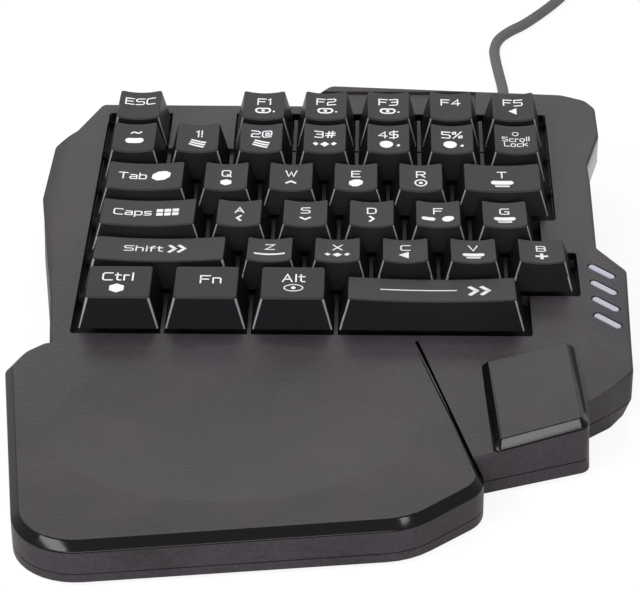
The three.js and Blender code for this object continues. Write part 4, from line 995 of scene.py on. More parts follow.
def dish_cutter(drop):
    """The palm rest's dish, level with the rest at its edge"""
    centre = point_at(DISH_CENTRE_SHARE)
    half_length = DISH_LENGTH_SHARE * WIDTH
    half_depth = DISH_DEPTH_SHARE * DEPTH
    rings = []
    for step in range(DISH_RINGS + 1):
        share = max(DISH_FLAT_SHARE, math.sin(math.pi / 2 * step / DISH_RINGS))
        depth = DISH_DEPTH * (1 - share * share) ** DISH_ROUNDNESS
        ring = []
        for side in range(DISH_SIDES):
            angle = 2 * math.pi * side / DISH_SIDES
            spot = Vector((math.cos(angle) * half_length, math.sin(angle) * half_depth)) * share
            ring.append(centre + Matrix.Rotation(DISH_TILT, 2) @ spot)
        rings.append(at_heights(ring, lambda x, y: palm_z(x, y) - depth, drop))
    rings.append([p + Vector((0, 0, OVERRUN)) for p in rings[-1]])
    return skin("dish", rings)


def groove_cutter():
    """A groove between the palm rest and the deck, its long slope a polished bevel of the rest"""
    front, rear = point_at(PALM_SHARES[3]), point_at(PALM_SHARES[4])
    start, end = (front.lerp(rear, share) for share in GROOVE_SHARES)
    way = (end - start).normalized()
    out = Vector((way.y, -way.x))
    rings = []
    for spot, width in ((start, GROOVE_WIDTH), (end, GROOVE_WIDTH * GROOVE_TAPER)):
        right = spot - out * GROOVE_INSET
        left = right - out * width
        low = min(deck_z(right.x, right.y), palm_z(right.x, right.y)) - GROOVE_DEPTH
        rings.append([
            Vector((right.x, right.y, low)),
            Vector((right.x, right.y, DEPTH)),
            Vector((left.x, left.y, DEPTH)),
            Vector((left.x, left.y, palm_z(left.x, left.y))),
        ])
    return give_case_finishes(skin("groove", rings), POLISH_AND_SHADE_LOOK)


def field_corners(margin):
    """Round the key field, stepped where a row is wider than the next"""
    widths = [sum(units for _, units in row) for row in KEY_ROWS]
    points = [Vector((-margin, -margin))]
    last = len(widths) - 1
    for row, units in enumerate(widths):
        right = units * PITCH + margin
        before = units if row == 0 else widths[row - 1]
        after = units if row == last else widths[row + 1]
        if row == 0 or before != units:
            points.append(Vector((right, row * PITCH + (-margin if row == 0 or before < units else margin))))
        if row == last or after != units:
            high = margin if row == last or after < units else -margin
            points.append(Vector((right, (row + 1) * PITCH + high)))
    points.append(Vector((-margin, len(widths) * PITCH + margin)))
    return stepped([{"at": p, "radius": FIELD_RADIUS} for p in points])


def cells():
    """Every key with its place: name, units, left edge in units and row"""
    found = []
    for row, keys in enumerate(KEY_ROWS):
        along = 0
        for name, units in keys:
            if name:
                found.append((name, units, along, row))
            along += units
    return found


def opening(cell):
    _, units, along, row = cell
    last = sum(u for _, u in KEY_ROWS[row])
    x0 = along * PITCH + (-FIELD_MARGIN if along == 0 else RIB / 2)
    x1 = (along + units) * PITCH + (FIELD_MARGIN if along + units >= last else -RIB / 2)
    y0 = row * PITCH + (-FIELD_MARGIN if row == 0 else RIB / 2)
    y1 = (row + 1) * PITCH + (FIELD_MARGIN if row + 1 == len(KEY_ROWS) else -RIB / 2)
    return rectangle(x0, y0, x1, y1, OPENING_RADIUS)


def on_deck(piece):
    return place_by(piece, Matrix.Translation(-ORIGIN) @ DECK)


def sunk_cutter(name, corners, low, edge):
    """Cuts an outline down from the deck's plane, with a bevelled rim"""
    return skin(name, [
        at_heights(rounded(corners), low),
        at_heights(rounded(corners), -edge),
        at_heights(rounded(moved(corners, edge * 2)), edge),
    ])


def field_cutter(edge):
    """Sinks the ribs between the keys, and more so those between rows and the field's rim"""
    field = sunk_cutter("field", field_corners(FIELD_MARGIN + SLIVER), -CHANNEL_DEPTH, edge)
    rows, blanks = [], []
    half_gap, reach = KEY_GAP / 2, RIB / 2 - SLIVER
    for row, keys in enumerate(KEY_ROWS):
        along = 0
        low, high = row * PITCH + reach, (row + 1) * PITCH - reach
        for name, units in keys:
            if not name:
                corner = (along * PITCH - reach, row * PITCH - reach, -OVERRUN)
                far_corner = ((along + units) * PITCH + reach, high + OVERRUN, OVERRUN)
                blanks.append(box_piece("blank", corner, far_corner))
            along += units
        rows.append(box_piece("row", (-half_gap, low, -OVERRUN), (along * PITCH + half_gap, high, -RIB_DROP)))
    # The field's own faces, the deep channel and its rim, take the dark polish finish as painted shade
    # between the keys; faces left by the rows and blanks stay plain
    give_case_finishes(field, POLISH_AND_SHADE_LOOK)
    for stock in (join(rows), join(blanks)):
        give_case_finishes(stock)
        combine(field, stock, "DIFFERENCE")
    return on_deck(field)


def bar_corners(index, grow):
    start, end = (
        Vector((WIDEST * PITCH + x * RIGHT_MARGIN, y * len(KEY_ROWS) * PITCH - index * BAR_SPACING))
        for x, y in BAR_SHARES
    )
    way = (end - start).normalized()
    side = Vector((way.y, -way.x))
    half = BAR_WIDTH / 2 + grow
    places = [
        start - way * half + side * half,
        end + way * half + side * half,
        end + way * half - side * half,
        start - way * half - side * half,
    ]
    return stepped([{"at": p, "radius": half * NEARLY_WHOLE} for p in places])


def fold_cutter():
    rear, front, edge = (point_at(share) for share in FOLD_SHARES)
    rear_on, front_on = (Vector((p.x, p.y, deck_z(p.x, p.y))) for p in (rear, front))
    low = Vector((edge.x, edge.y, deck_z(edge.x, edge.y) - FOLD_DEPTH))
    along = rear_on - front_on
    out = low - front_on
    sideways = out - out.project(along)
    flat = [front_on, rear_on + along]
    flat += [flat[1] + sideways * FOLD_REACH, flat[0] + sideways * FOLD_REACH]
    return skin("fold", [flat, at_heights(flat, DEPTH)])


def wing_cutter():
    rear, right, front, left = (point_at(share) for share in WING_SHARES)
    flat = []
    for p, drop in ((rear, 0), (left, WING_SIDE_DEPTH), (front, WING_DEPTH), (right, WING_SIDE_DEPTH)):
        flat += at_heights([p], deck_z, drop)
    return skin("wing", [flat, [p + Vector((0, 0, OVERRUN)) for p in flat]])


def seam_slab(low, high):
    """A slab over the whole plan between two heights or surfaces"""
    reach = DEPTH
    plan = [(-reach, -reach), (reach * 2, -reach), (reach * 2, reach * 2), (-reach, reach * 2)]
    return slab("slab", [Vector(p) for p in plan], low, high)


def exit_place():
    left, right = point_at(DECK_SHARES[14]), point_at(DECK_SHARES[13])
    spot = left.lerp(right, EXIT_SHARE)
    return Vector((spot.x, spot.y, seam_z(spot.y)))


def exit_cutter():
    deselect()
    spot = exit_place()
    bpy.ops.mesh.primitive_cylinder_add(
        vertices=EXIT_SIDES, radius=EXIT_RADIUS, depth=WALL * 4,
        location=spot - Vector((0, WALL / 2, 0)), rotation=(math.pi / 2, 0, 0),
    )
    return applied("exit")


def outer_case(rest):
    """The whole case as one solid: the deck, the wing's sunk corner, the palm rest and the thumb pad"""
    case = deck_block(0, 0, round_profile(sizes().case_edge), rest)
    combine(case, wing_cutter(), "DIFFERENCE")
    combine(case, fold_cutter(), "DIFFERENCE")
    edge = bevel_profile(BLOCK_BEVEL, sizes().bevel_softness)
    combine(case, raised_block("palm block", PALM_SHARES, 0, palm_z, 0, edge, rest), "UNION")
    combine(case, raised_block("thumb block", THUMB_SHARES, 0, thumb_z, 0, edge, rest), "UNION")
    combine(case, groove_cutter(), "DIFFERENCE")
    return combine(case, dish_cutter(0), "DIFFERENCE")


def hollow_case(rest):
    """The room inside the case, a wall smaller all round"""
    edge = [(0, BLOCK_BEVEL), (BLOCK_BEVEL, 0)]
    room = deck_block(WALL, DECK_THICKNESS, [(0, 0)], rest)
    lowered_fold = place_by(fold_cutter(), Matrix.Translation((0, 0, -DECK_THICKNESS)))
    combine(room, lowered_fold, "DIFFERENCE")
    combine(room, raised_block("palm room", PALM_SHARES, WALL, palm_z, WALL, edge, rest), "UNION")
    combine(room, raised_block("thumb room", THUMB_SHARES, WALL, thumb_z, WALL, edge, rest), "UNION")
    return combine(room, dish_cutter(WALL), "DIFFERENCE")


def build_top_case():
    edge = sizes().opening_edge
    case = outer_case("under")
    combine(case, hollow_case("under"), "DIFFERENCE")
    outline = rounded(field_corners(FIELD_MARGIN + SKIRT_WALL))
    skirt = slab("skirt", outline, -SKIRT_DEPTH, -DECK_THICKNESS / 2)
    combine(case, on_deck(skirt), "UNION")
    posts = []
    for share in SCREW_SHARES:
        at = point_at(share)
        top = min(deck_z(at.x, at.y), palm_z(at.x, at.y) if at.y < BEND_Y else DEPTH) - WALL / 2
        posts.append(post("boss", at, BOSS_RADIUS, BASE_BOSS_HEIGHT + GAP, top))
    combine(case, join(posts), "UNION")
    tools = [sunk_cutter("opening", opening(cell), -SKIRT_DEPTH - OVERRUN, edge) for cell in cells()]
    for i in range(BAR_COUNT):
        tools.append(sunk_cutter("slot", bar_corners(i, GAP), -DECK_THICKNESS - OVERRUN, edge / 2))
    inset = [point_at(share) for share in INSET_SHARES]
    inset = stepped([{"at": Vector((p.x, p.y / math.cos(TILT))), "radius": OPENING_RADIUS} for p in inset])
    tools.append(sunk_cutter("inset", inset, -PANEL_DEPTH, edge))
    tools = [on_deck(tool) for tool in tools]
    for share in SCREW_SHARES:
        tools.append(post("bore", point_at(share), SCREW_RADIUS + GAP, 0, SCREW_TIP + GAP, SMALL_ROUND_SIDES))
    tools.append(exit_cutter())
    combine(case, join(tools), "DIFFERENCE")
    combine(case, field_cutter(edge), "DIFFERENCE")
    combine(case, seam_slab(-DEPTH, lambda x, y: seam_z(y) + SEAM_HALF_GAP), "DIFFERENCE")
    case.name = "top_case"
    place_by(clean(case), Matrix.Translation(ORIGIN))
    finish_mesh(case)
    return stand_for(case, "top_shell")


def pad_corners(share):
    """A pad's outline with the gap round it"""
    at = point_at(share)
    half_length, half_width = PAD_LENGTH / 2 + GAP, PAD_WIDTH / 2 + GAP
    outline = rectangle(-half_length, -half_width, half_length, half_width, half_width * NEARLY_WHOLE)
    return stepped([{**corner, "at": corner["at"] + at} for corner in outline])


def support(share):
    """One rib under the layers, as high as the backlight panel's underside"""
    x = share * WIDTH - LEFT_MARGIN
    front, rear = PITCH * SUPPORT_INSET, len(KEY_ROWS) * PITCH - PITCH * SUPPORT_INSET
    half = SUPPORT_THICKNESS / 2
    plan = [Vector(p) for p in ((x - half, front), (x + half, front), (x + half, rear), (x - half, rear))]
    top = SUPPORT_TOP / math.cos(TILT)
    return slab("support", plan, FLOOR_Z - WALL / 2, lambda px, py: deck_z(px, py) + top)


def build_bottom_case():
    case = outer_case("base")
    combine(case, seam_slab(lambda x, y: seam_z(y) - SEAM_HALF_GAP, DEPTH), "DIFFERENCE")
    combine(case, hollow_case("floor"), "DIFFERENCE")
    low = FLOOR_Z - WALL / 2
    board = point_at(BOARD_SHARE)
    reach = Vector((BOARD_LENGTH / 2 + GAP, BOARD_WIDTH / 2 + GAP))
    ribs = join([support(share) for share in SUPPORT_SHARES])
    room = box_piece("board room", (*(board - reach), 0), (*(board + reach), DEPTH))
    combine(case, combine(ribs, room, "DIFFERENCE"), "UNION")
    posts = [post("boss", point_at(share), BASE_BOSS_RADIUS, low, BASE_BOSS_HEIGHT) for share in SCREW_SHARES]
    for x, y in BOARD_POST_SHARES:
        at = board + Vector((x * BOARD_LENGTH, y * BOARD_WIDTH))
        high = FLOOR_Z + BOARD_POST_HEIGHT
        posts.append(post("board post", at, BOARD_POST_RADIUS, low, high, SMALL_ROUND_SIDES))
    combine(case, join(posts), "UNION")
    tools = []
    for share in SCREW_SHARES:
        at = point_at(share)
        head = post("head", at, SCREW_HEAD_RADIUS + GAP, 0, BASE_CLEARANCE + COUNTERBORE_DEPTH)
        high = BASE_BOSS_HEIGHT + OVERRUN
        bore = post("bore", at, SCREW_RADIUS + GAP, BASE_CLEARANCE, high, SMALL_ROUND_SIDES)
        tools.append(combine(head, bore, "UNION"))
    for share in PAD_SHARES:
        tools.append(slab("recess", rounded(pad_corners(share)), 0, BASE_CLEARANCE + PAD_RECESS_DEPTH))
    tools.append(exit_cutter())
    combine(case, join(tools), "DIFFERENCE")
    case.name = "bottom_case"
    place_by(case, Matrix.Translation(ORIGIN))
    finish_mesh(case)
    return stand_for(case, "bottom_shell")


# Keycaps and their legends


def cap_top(units, row, name):
    """Height of a cap's top over the deck, and the half sizes of its top"""
    front_share, back_share = SPACE_PROFILE if name == "space" else ROW_PROFILES[row]
    half_width = (units * PITCH - KEY_GAP) / 2
    half_depth = (PITCH - KEY_GAP) / 2
    half_top = half_width - CAP_SIDE
    front, back = CAP_FRONT - half_depth, half_depth - CAP_BACK
    low, high = front_share * CAP_HEIGHT, back_share * CAP_HEIGHT
    sag = 0 if row == 0 and name != "space" else CAP_DISH

    def height(x, y):
        plane = low + (y - front) * (high - low) / (back - front)
        return plane - sag * (1 - min(1, (x / half_top) ** 2))

    return height, half_width, half_depth, half_top, front, back


def build_cap(units, row, name):
    """One shape of cap, hollow, with its stem, hooks and any eyes for a wire"""
    height, half_width, half_depth, half_top, front, back = cap_top(units, row, name)
    edge = sizes().cap_edge
    base = rectangle(-half_width, -half_depth, half_width, half_depth, CAP_BASE_RADIUS)
    top = rectangle(-half_top, front, half_top, back, CAP_TOP_RADIUS)
    for a, b in zip(base, top):
        b["steps"] = a["steps"] = CAP_ARC_STEPS
        a["runs"] = b["runs"] = max(a["runs"], CAP_RUN_STEPS)
    inner_base, inner_top = moved(base, -CAP_WALL), moved(top, -CAP_WALL)
    low_ring = rounded(base)
    high_ring = rounded(top)
    rings = [
        at_heights(rounded(inner_top), lambda x, y: height(0, y) - CAP_ROOF),
        at_heights(rounded(inner_base), CAP_BASE),
        at_heights(low_ring, CAP_BASE),
    ]
    for share in CAP_WALL_SHARES:
        ring = []
        for a, b in zip(low_ring, high_ring):
            spot = a.lerp(b, share)
            rim = height(b.x, b.y) - edge
            ring.append(Vector((spot.x, spot.y, CAP_BASE + (rim - CAP_BASE) * share)))
        rings.append(ring)
    rings += edge_rings(top, height, round_profile(edge, CAP_EDGE_STEPS)[1:])
    brim = rounded(moved(top, -edge))
    middle = Vector((0, (front + back) / 2))
    for share in CAP_DISH_SHARES:
        rings.append(at_heights([middle + (p - middle) * share for p in brim], height))
    cap = skin("cap", rings)
    inside = height(0, 0) - CAP_ROOF / 2
    half = STEM / 2
    combine(cap, box_piece("stem", (-half, -half, HOOK_LOW), (half, half, inside)), "UNION")
    reach = half + HOOK_REACH
    hook = box_piece("hooks", (-reach, -HOOK_WIDTH / 2, HOOK_LOW), (reach, HOOK_WIDTH / 2, HOOK_TOP))
    combine(cap, hook, "UNION")
    if name in WIRED_KEYS:
        for side in (-1, 1):
            x = side * (half_width - WIRE_END_INSET - EYE_THICKNESS)
            half_x = EYE_THICKNESS / 2
            half_y = EYE_SLOT_LENGTH / 2
            slot = EYE_SLOT_HEIGHT / 2
            low = (x - half_x, EYE_Y - half_y - EYE_WALL, EYE_HEIGHT - slot - EYE_WALL)
            high = (x + half_x, EYE_Y + half_y + EYE_WALL, height(x, EYE_Y) - CAP_ROOF / 2)
            eye = box_piece("eye", low, high)
            cut_low = (x - half_x * 2, EYE_Y - half_y, EYE_HEIGHT - slot)
            cut_high = (x + half_x * 2, EYE_Y + half_y, EYE_HEIGHT + slot)
            combine(eye, box_piece("slot", cut_low, cut_high), "DIFFERENCE")
            combine(cap, eye, "UNION")
    finish_mesh(clean(cap), CAP_SMOOTH)
    give_finishes(cap, CAP_FINISHES, SIDE_LOOK)
    # Faces near the top take the lighter cap_top colour as painted light; the other faces keep the darker
    # cap_side colour as painted shade
    for face in cap.data.polygons:
        centre = face.center
        over = centre.z > height(centre.x, centre.y) - edge * CAP_TOP_REACH
        outward = abs(face.normal.x) > RIDGE_TURN and abs(face.normal.y) > RIDGE_TURN
        along = (centre.z - CAP_BASE) / (CAP_HEIGHT - CAP_BASE)
        ridge_x = half_width - CAP_SIDE * along - CAP_TOP_RADIUS
        on_ridge = outward and abs(centre.x) > ridge_x and centre.y < 0 and centre.z > CAP_BASE * 2
        # Faces on a front corner ridge take cap_edge, a painted highlight
        face.material_index = TOP_LOOK if over else RIDGE_HIGHLIGHT_LOOK if on_ridge else SIDE_LOOK
    return cap


def flat_circle(radius, sides, turn=0, stretch=1):
    deselect()
    bpy.ops.mesh.primitive_circle_add(vertices=sides, radius=radius, fill_type="NGON", rotation=(0, 0, turn))
    bpy.context.object.scale = (stretch, 1, 1)
    return applied("circle")


def flat_box(width, height, x=0, y=0, turn=0):
    deselect()
    bpy.ops.mesh.primitive_plane_add(size=1, location=(x, y, 0), rotation=(0, 0, turn))
    bpy.context.object.scale = (width, height, 1)
    piece = applied("box")
    if max(width, height) > LONG_MARK:
        with editing(piece):
            bpy.ops.mesh.subdivide(number_cuts=LONG_MARK_CUTS)
    return piece


def hollowed(piece, thickness):
    """Leaves a rim of a flat mark"""
    with editing(piece):
        bpy.ops.mesh.inset(thickness=thickness)
        bpy.ops.mesh.delete(type="FACE")
    return piece


def ring_mark(radius, thickness, stretch=1):
    return hollowed(flat_circle(radius, RING_SIDES, stretch=stretch), thickness)


def shifted(piece, x, y=0):
    return place_by(piece, Matrix.Translation((x, y, 0)))


def chevron(size, turn):
    """A bent arrowhead from two slanted bars"""
    arms = []
    for side in (-1, 1):
        x = side * size * CHEVRON_SPREAD
        arms.append(flat_box(size * CHEVRON_LENGTH, size * CHEVRON_THICKNESS, x, 0, -side * CHEVRON_SLANT))
    return place_by(join(arms), Matrix.Rotation(turn, 4, "Z"))


def mark(kind, size):
    """A plain printed mark in millimetres, centred"""
    if kind in MARK_TURNS:
        return chevron(size, math.radians(MARK_TURNS[kind]))
    makers = {
        "dot": lambda: flat_circle(size / 2, 12),
        "disc": lambda: flat_circle(size / 2, 24, stretch=1.15),
        "ring": lambda: ring_mark(size / 2, size * 0.13),
        "hexagon": lambda: flat_circle(size / 2, 6, stretch=1.15),
        "triangle": lambda: flat_circle(size / 2, 3, math.radians(90), 1.2),
        "diamonds": lambda: join([
            flat_circle(size / 2.6, 4, stretch=1.1),
            shifted(flat_circle(size / 3.6, 4), size * 0.85),
            shifted(flat_circle(size / 3.6, 4), -size * 0.85),
        ]),
        "pill": lambda: pill(size * 2.2, size),
        "long_pill": lambda: join([
            pill(size * 2.2, size * 0.66),
            shifted(flat_box(size * 1.4, size * 0.24), 0, -size * 0.62),
        ]),
        "slot": lambda: join([
            hollowed(pill(size * 1.75, size), size * 0.22),
            flat_circle(size * 0.2, 12),
        ]),
        "bars": lambda: join([
            flat_box(size * 1.6, size * 0.22, size * 0.1 * k, size * 0.36 * k, math.radians(-20))
            for k in (-1, 0, 1)
        ]),
        "block": lambda: flat_circle(size * 0.62, 8, math.radians(22.5), 1.2),
        "grid": lambda: join([
            flat_box(size * 0.42, size * 0.36, size * 0.52 * i, size * 0.24 * j)
            for i in (-1, 0, 1)
            for j in (-1, 1)
        ]),
        "chevrons": lambda: join([
            shifted(chevron(size, math.radians(MARK_TURNS["right"])), x * size) for x in (-0.35, 0.35)
        ]),
        "long_bar": lambda: pill(size * 8, size * 0.8),
        "plus": lambda: join([flat_box(size, size * 0.26), flat_box(size * 0.26, size)]),
        "lens": lambda: join([ring_mark(size / 2, size * 0.1, stretch=1.7), flat_circle(size * 0.2, 16)]),
        "line": lambda: flat_box(size * 42, size),
    }
    return makers[kind]()


def pill(width, height):
    outline = rounded(rectangle(-width / 2, -height / 2, width / 2, height / 2, height * PILL_ROUND))
    return flat_face("pill", at_heights(outline, 0))


def ribbon(path, thickness):
    """A flat strip along straight strokes, with mitred corners and square ends"""
    points = [Vector(p) for p in path]
    closed = points[0] == points[-1]
    around = [points[-2], *points, points[1]] if closed else [None, *points, None]
    columns = []
    for before, point, after in zip(around, around[1:], around[2:]):
        into = (point - before).normalized() if before else (after - point).normalized()
        out = (after - point).normalized() if after else into
        half = thickness / 2
        side = Vector((-(into + out).y, (into + out).x)).normalized()
        reach = min(half / max(side.dot(Vector((-into.y, into.x))), half / thickness), thickness)
        end = -out * half if not before else into * half if not after else Vector((0, 0))
        columns.append((point + end - side * reach, point + end + side * reach))
    deselect()
    bpy.ops.mesh.primitive_grid_add(x_subdivisions=len(columns) - 1, y_subdivisions=1)
    piece = bpy.context.object
    for i, column in enumerate(columns):
        for row, place in enumerate(column):
            piece.data.vertices[row * len(columns) + i].co = (*place, 0)
    return piece


def word(text, size):
    """Words in a wide squared face, drawn with strokes as a flat mesh in millimetres, centred"""
    strips = []
    along = 0
    for letter in text:
        right = 0
        for path in LETTERS[letter].split("|"):
            points = [tuple(map(float, pair.split(","))) for pair in path.split()]
            strips.append(ribbon([(along + x, y) for x, y in points], STROKE))
            right = max(right, *(x for x, _ in points))
        along += right + LETTER_GAP
    middle = Vector((along - LETTER_GAP, LETTER_HEIGHT, 0)) / 2
    return place_by(join(strips), Matrix.Scale(size / LETTER_HEIGHT, 4) @ Matrix.Translation(-middle))


def build_legend(name, cap):
    """The cap's print, laid on its curved top with a little thickness"""
    parts = []
    for maker, rows in zip((word, mark), LEGENDS[name]):
        for what, size, x, y in rows:
            parts.append(shifted(maker(what, size), x, y))
    piece = join(parts)
    place_by(piece, Matrix.Scale(MM, 4))
    with editing(piece):
        bpy.ops.mesh.remove_doubles(threshold=LEGEND_MERGE_REACH)
        bpy.ops.mesh.quads_convert_to_tris()
        bpy.ops.mesh.normals_make_consistent(inside=False)
    if sum(face.normal.z for face in piece.data.polygons) < 0:
        piece.data.flip_normals()
    middle = (CAP_FRONT - CAP_BACK) / 2
    lift = sizes().legend_lift
    for vertex in piece.data.vertices:
        vertex.co.y += middle
        _, place, *_ = cap.ray_cast((vertex.co.x, vertex.co.y, CAP_HEIGHT * 2), (0, 0, -1))
        vertex.co.z = place.z + lift
    modify(piece, "SOLIDIFY", thickness=lift * 2, offset=-1)
    return give_finishes(piece, CAP_FINISHES, PRINT_LOOK)


def build_keycaps():
    shapes = {}
    for name, units, along, row in cells():
        kind = (units, min(row, LIKE_ROWS_FROM), name in WIRED_KEYS)
        if kind not in shapes:
            shapes[kind] = build_cap(units, row, name)
        piece = linked(f"cap_{name}", shapes[kind].data.copy())
        join([piece, build_legend(name, piece)])
        middle = Matrix.Translation(((along + units / 2) * PITCH, (row + 0.5) * PITCH, 0))
        place_by(piece, DECK @ middle)
        stand_for(piece, f"key_{name}")
    for shape in shapes.values():
        bpy.data.objects.remove(shape)


# Light bars and pieces that keep their frame shape


def build_light_bars():
    top = -DECK_THICKNESS - GAP
    spots = [p["at"] for i in (0, BAR_COUNT - 1) for p in bar_corners(i, BAR_STRIP_MARGIN)]
    x0, x1 = min(p.x for p in spots), max(p.x for p in spots)
    y0, y1 = min(p.y for p in spots), max(p.y for p in spots)
    piece = box_piece("light_bars", (x0, y0, top - BAR_STRIP_THICKNESS), ((x0 + x1) / 2, y1, top))
    for i in range(BAR_COUNT):
        corners = bar_corners(i, 0)
        rings = [at_heights(rounded(corners), top - BAR_SINK), *edge_rings(corners, 0, BAR_EDGE)]
        combine(piece, skin("bar", rings), "UNION")
    place_by(piece, DECK)
    finish_mesh(piece, CAP_SMOOTH)
    # The bars' faint glow is painted light
    paint(piece, finish("light_bar"))
    return stand_for(piece, "light_bar_lens")


def dress_small(node, name, look, edge):
    """A merged copy of a frame node with bevelled edges"""
    piece = merged_copy(node, name)
    bevelled(piece, edge)
    finish_mesh(piece, SMALL_SMOOTH)
    paint(piece, finish(look))
    return stand_for(piece, node)


def catmull_rom(points, count):
    """Points on a smooth curve through the given ones"""
    padded = [points[0] * 2 - points[1], *points, points[-1] * 2 - points[-2]]
    result = []
    for i in range(1, len(padded) - 2):
        a, b, c, d = padded[i - 1:i + 3]
        for step in range(count):
            t = step / count
            result.append(0.5 * (
                2 * b + (c - a) * t + (2 * a - 5 * b + 4 * c - d) * t * t + (3 * b - a - 3 * c + d) * t ** 3
            ))
    return [*result, points[-1]]


def smooth_share(value, low, high):
    share = min(1, max(0, (value - low) / (high - low)))
    return share * share * (3 - 2 * share)


def coil_route():
    """A spiral in and out in layers, then the tail down to the plug"""
    pitch = CABLE_DIAMETER + COIL_GAP
    turns = WHOLE_TURNS + (COIL_LEAVE - COIL_START) / (2 * math.pi)
    layer_turns = turns / COIL_LAYERS
    low = CABLE_DIAMETER / 2 + FLOOR_GAP + TIE_THICKNESS + GAP
    points = []
    count = round(turns * COIL_POINTS_PER_TURN)
    for step in range(count + 1):
        turn = step / count * turns
        layer = min(int(turn / layer_turns), COIL_LAYERS - 1)
        within = turn - layer * layer_turns
        inward = within if layer % 2 == 0 else layer_turns - within
        radius = COIL_RADIUS + (layer_turns / 2 - inward) * pitch
        climbed = sum(
            smooth_share(turn, change * layer_turns - LAYER_CHANGE, change * layer_turns + LAYER_CHANGE)
            for change in range(1, COIL_LAYERS)
        )
        angle = COIL_START + turn * 2 * math.pi
        around = Vector((math.cos(angle) * radius, math.sin(angle) * radius, low + climbed * pitch))
        points.append(COIL_CENTRE + around)
    end = points[-1]
    way = Vector((-math.sin(COIL_LEAVE), math.cos(COIL_LEAVE), 0))
    plug_height = PLUG_THICKNESS / 2 + FLOOR_GAP
    for step in range(1, TAIL_STEPS + 1):
        run = TAIL_LENGTH * step / TAIL_STEPS
        fallen = smooth_share(run, TAIL_LEVEL_LENGTH, TAIL_LENGTH - CABLE_DIAMETER)
        point = end + way * run
        point.z = end.z + (plug_height - end.z) * fallen
        points.append(point)
    return points


def build_lead():
    route = catmull_rom([Vector(p) * MM for p in LEAD_POINTS], ROUTE_STEPS)
    route += coil_route()
    curve = bpy.data.curves.new("lead", "CURVE")
    curve.dimensions = "3D"
    curve.bevel_depth = CABLE_DIAMETER / 2
    curve.bevel_resolution = LEAD_ROUNDNESS
    curve.use_fill_caps = True
    spline = curve.splines.new("POLY")
    spline.points.add(len(route) - 1)
    for spot, point in zip(spline.points, route):
        spot.co = (*point, 1)
    lead = linked("lead", curve)
    curve.materials.append(finish("cable"))
    spline.use_smooth = True
    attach(lead, "case")
    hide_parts("cable_tube", "cable_coil")
    relief = build_relief()
    tie = dress_small("cable_tie", "lead_tie", "rubber", TIE_EDGE)
    plug = dress_small("usb_plug_body", "plug_grip", "rubber", PLUG_EDGE)
    shell = dress_small("usb_plug_shell", "plug_shell", "nickel", SHELL_EDGE)


def build_relief():
    """The tapered strain relief, with a flange in the wall and soft ribs outside"""
    spot = exit_place() + ORIGIN + Vector((0, DRAFT, 0))
    inner = (-WALL - DRAFT - GAP) / MM
    outer = (DRAFT + GAP) / MM
    flange_start = inner - RELIEF_FLANGE_THICKNESS
    profile = [(0, flange_start), (RELIEF_FLANGE_RADIUS, flange_start), (RELIEF_FLANGE_RADIUS, inner)]
    profile += [(RELIEF_RADIUS, inner), (RELIEF_RADIUS, outer)]
    profile += [(radius, outer + along) for radius, along in RELIEF_COLLAR]
    ribs_start = RELIEF_COLLAR[-1][1]
    step = (RELIEF_LENGTH + RELIEF_TIP[0][1] - ribs_start) / RELIEF_RIBS
    for rib in range(RELIEF_RIBS):
        start = outer + ribs_start + step * rib
        radius = RELIEF_RADIUS - RELIEF_TAPER * rib / RELIEF_RIBS
        for low, share in RELIEF_RIB:
            profile.append((radius - low, start + step * share))
    profile += [(radius, outer + RELIEF_LENGTH + along) for radius, along in RELIEF_TIP]
    mesh = bpy.data.meshes.new("relief")
    piece = linked("lead_relief", mesh)
    points = [(radius * MM, along * MM, 0) for radius, along in profile]
    mesh.from_pydata(points, [(i, i + 1) for i in range(len(points) - 1)], [])
    with editing(piece):
        bpy.ops.mesh.spin(steps=RELIEF_SIDES, angle=2 * math.pi, center=(0, 0, 0), axis=(0, 1, 0))
        bpy.ops.mesh.select_all(action="SELECT")
        bpy.ops.mesh.remove_doubles(threshold=RELIEF_MERGE_REACH)
        bpy.ops.mesh.normals_make_consistent(inside=False)
    place_by(piece, Matrix.Translation(spot))
    finish_mesh(piece, SMALL_SMOOTH)
    paint(piece, finish("rubber"))
    return stand_for(piece, "strain_relief")


def dress_inside():
    """Inner pieces keep their frame shapes and get their finishes"""
    looks = {
        # The guide plate's near black inner finish is partly painted shade between the keys
        "guide_plate": "inner",
        "rubber_dome_sheet": "silicone",
        "membrane_sheet": "film",
        "backlight_panel": "diffuser",
        "controller_board": "board",
        "space_stabiliser": "steel",
        "shift_stabiliser": "steel",
    }
    for node, look in looks.items():
        paint(frame["nodes"][node], finish(look))


# Stage


def add_camera():
    data = bpy.data.cameras.new("Photo camera")
    data.lens = CAMERA_LENS
    data.sensor_width = SENSOR_WIDTH
    data.clip_start = CAMERA_NEAR
    camera = linked("Photo camera", data)
    camera.location = Vector(CAMERA_PLACE) * MM
    camera.rotation_euler = [math.radians(angle) for angle in CAMERA_TURN]
    bpy.context.scene.camera = camera


def add_lamp(name, place, aim, size, power):
    data = bpy.data.lights.new(name, "AREA")
    data.shape = "RECTANGLE"
    data.size, data.size_y = size
    data.energy = power
    lamp = linked(name, data)
    lamp.location = place
    lamp.rotation_euler = (Vector(aim) - Vector(place)).to_track_quat("-Z", "Y").to_euler()


def white_to_camera(nodes, links, plain, output, white_share, socket):
    """Mixes in a plain white that only the camera, glossy and transmission rays see"""
    rays = nodes.new("ShaderNodeLightPath").outputs
    seen = math_node(nodes, links, "MAXIMUM", rays["Is Camera Ray"], rays["Is Glossy Ray"])
    seen = math_node(nodes, links, "MAXIMUM", seen, rays["Is Transmission Ray"])
    share = math_node(nodes, links, "MULTIPLY", seen, white_share)
    white = nodes.new("ShaderNodeEmission" if socket == "Surface" else "ShaderNodeBackground")
    white.inputs["Color"].default_value = (1, 1, 1, 1)
    mix = nodes.new("ShaderNodeMixShader")
    links.new(share, mix.inputs["Fac"])
    links.new(plain.outputs[0], mix.inputs[1])
    links.new(white.outputs[0], mix.inputs[2])
    links.new(mix.outputs[0], output.inputs["Surface"])


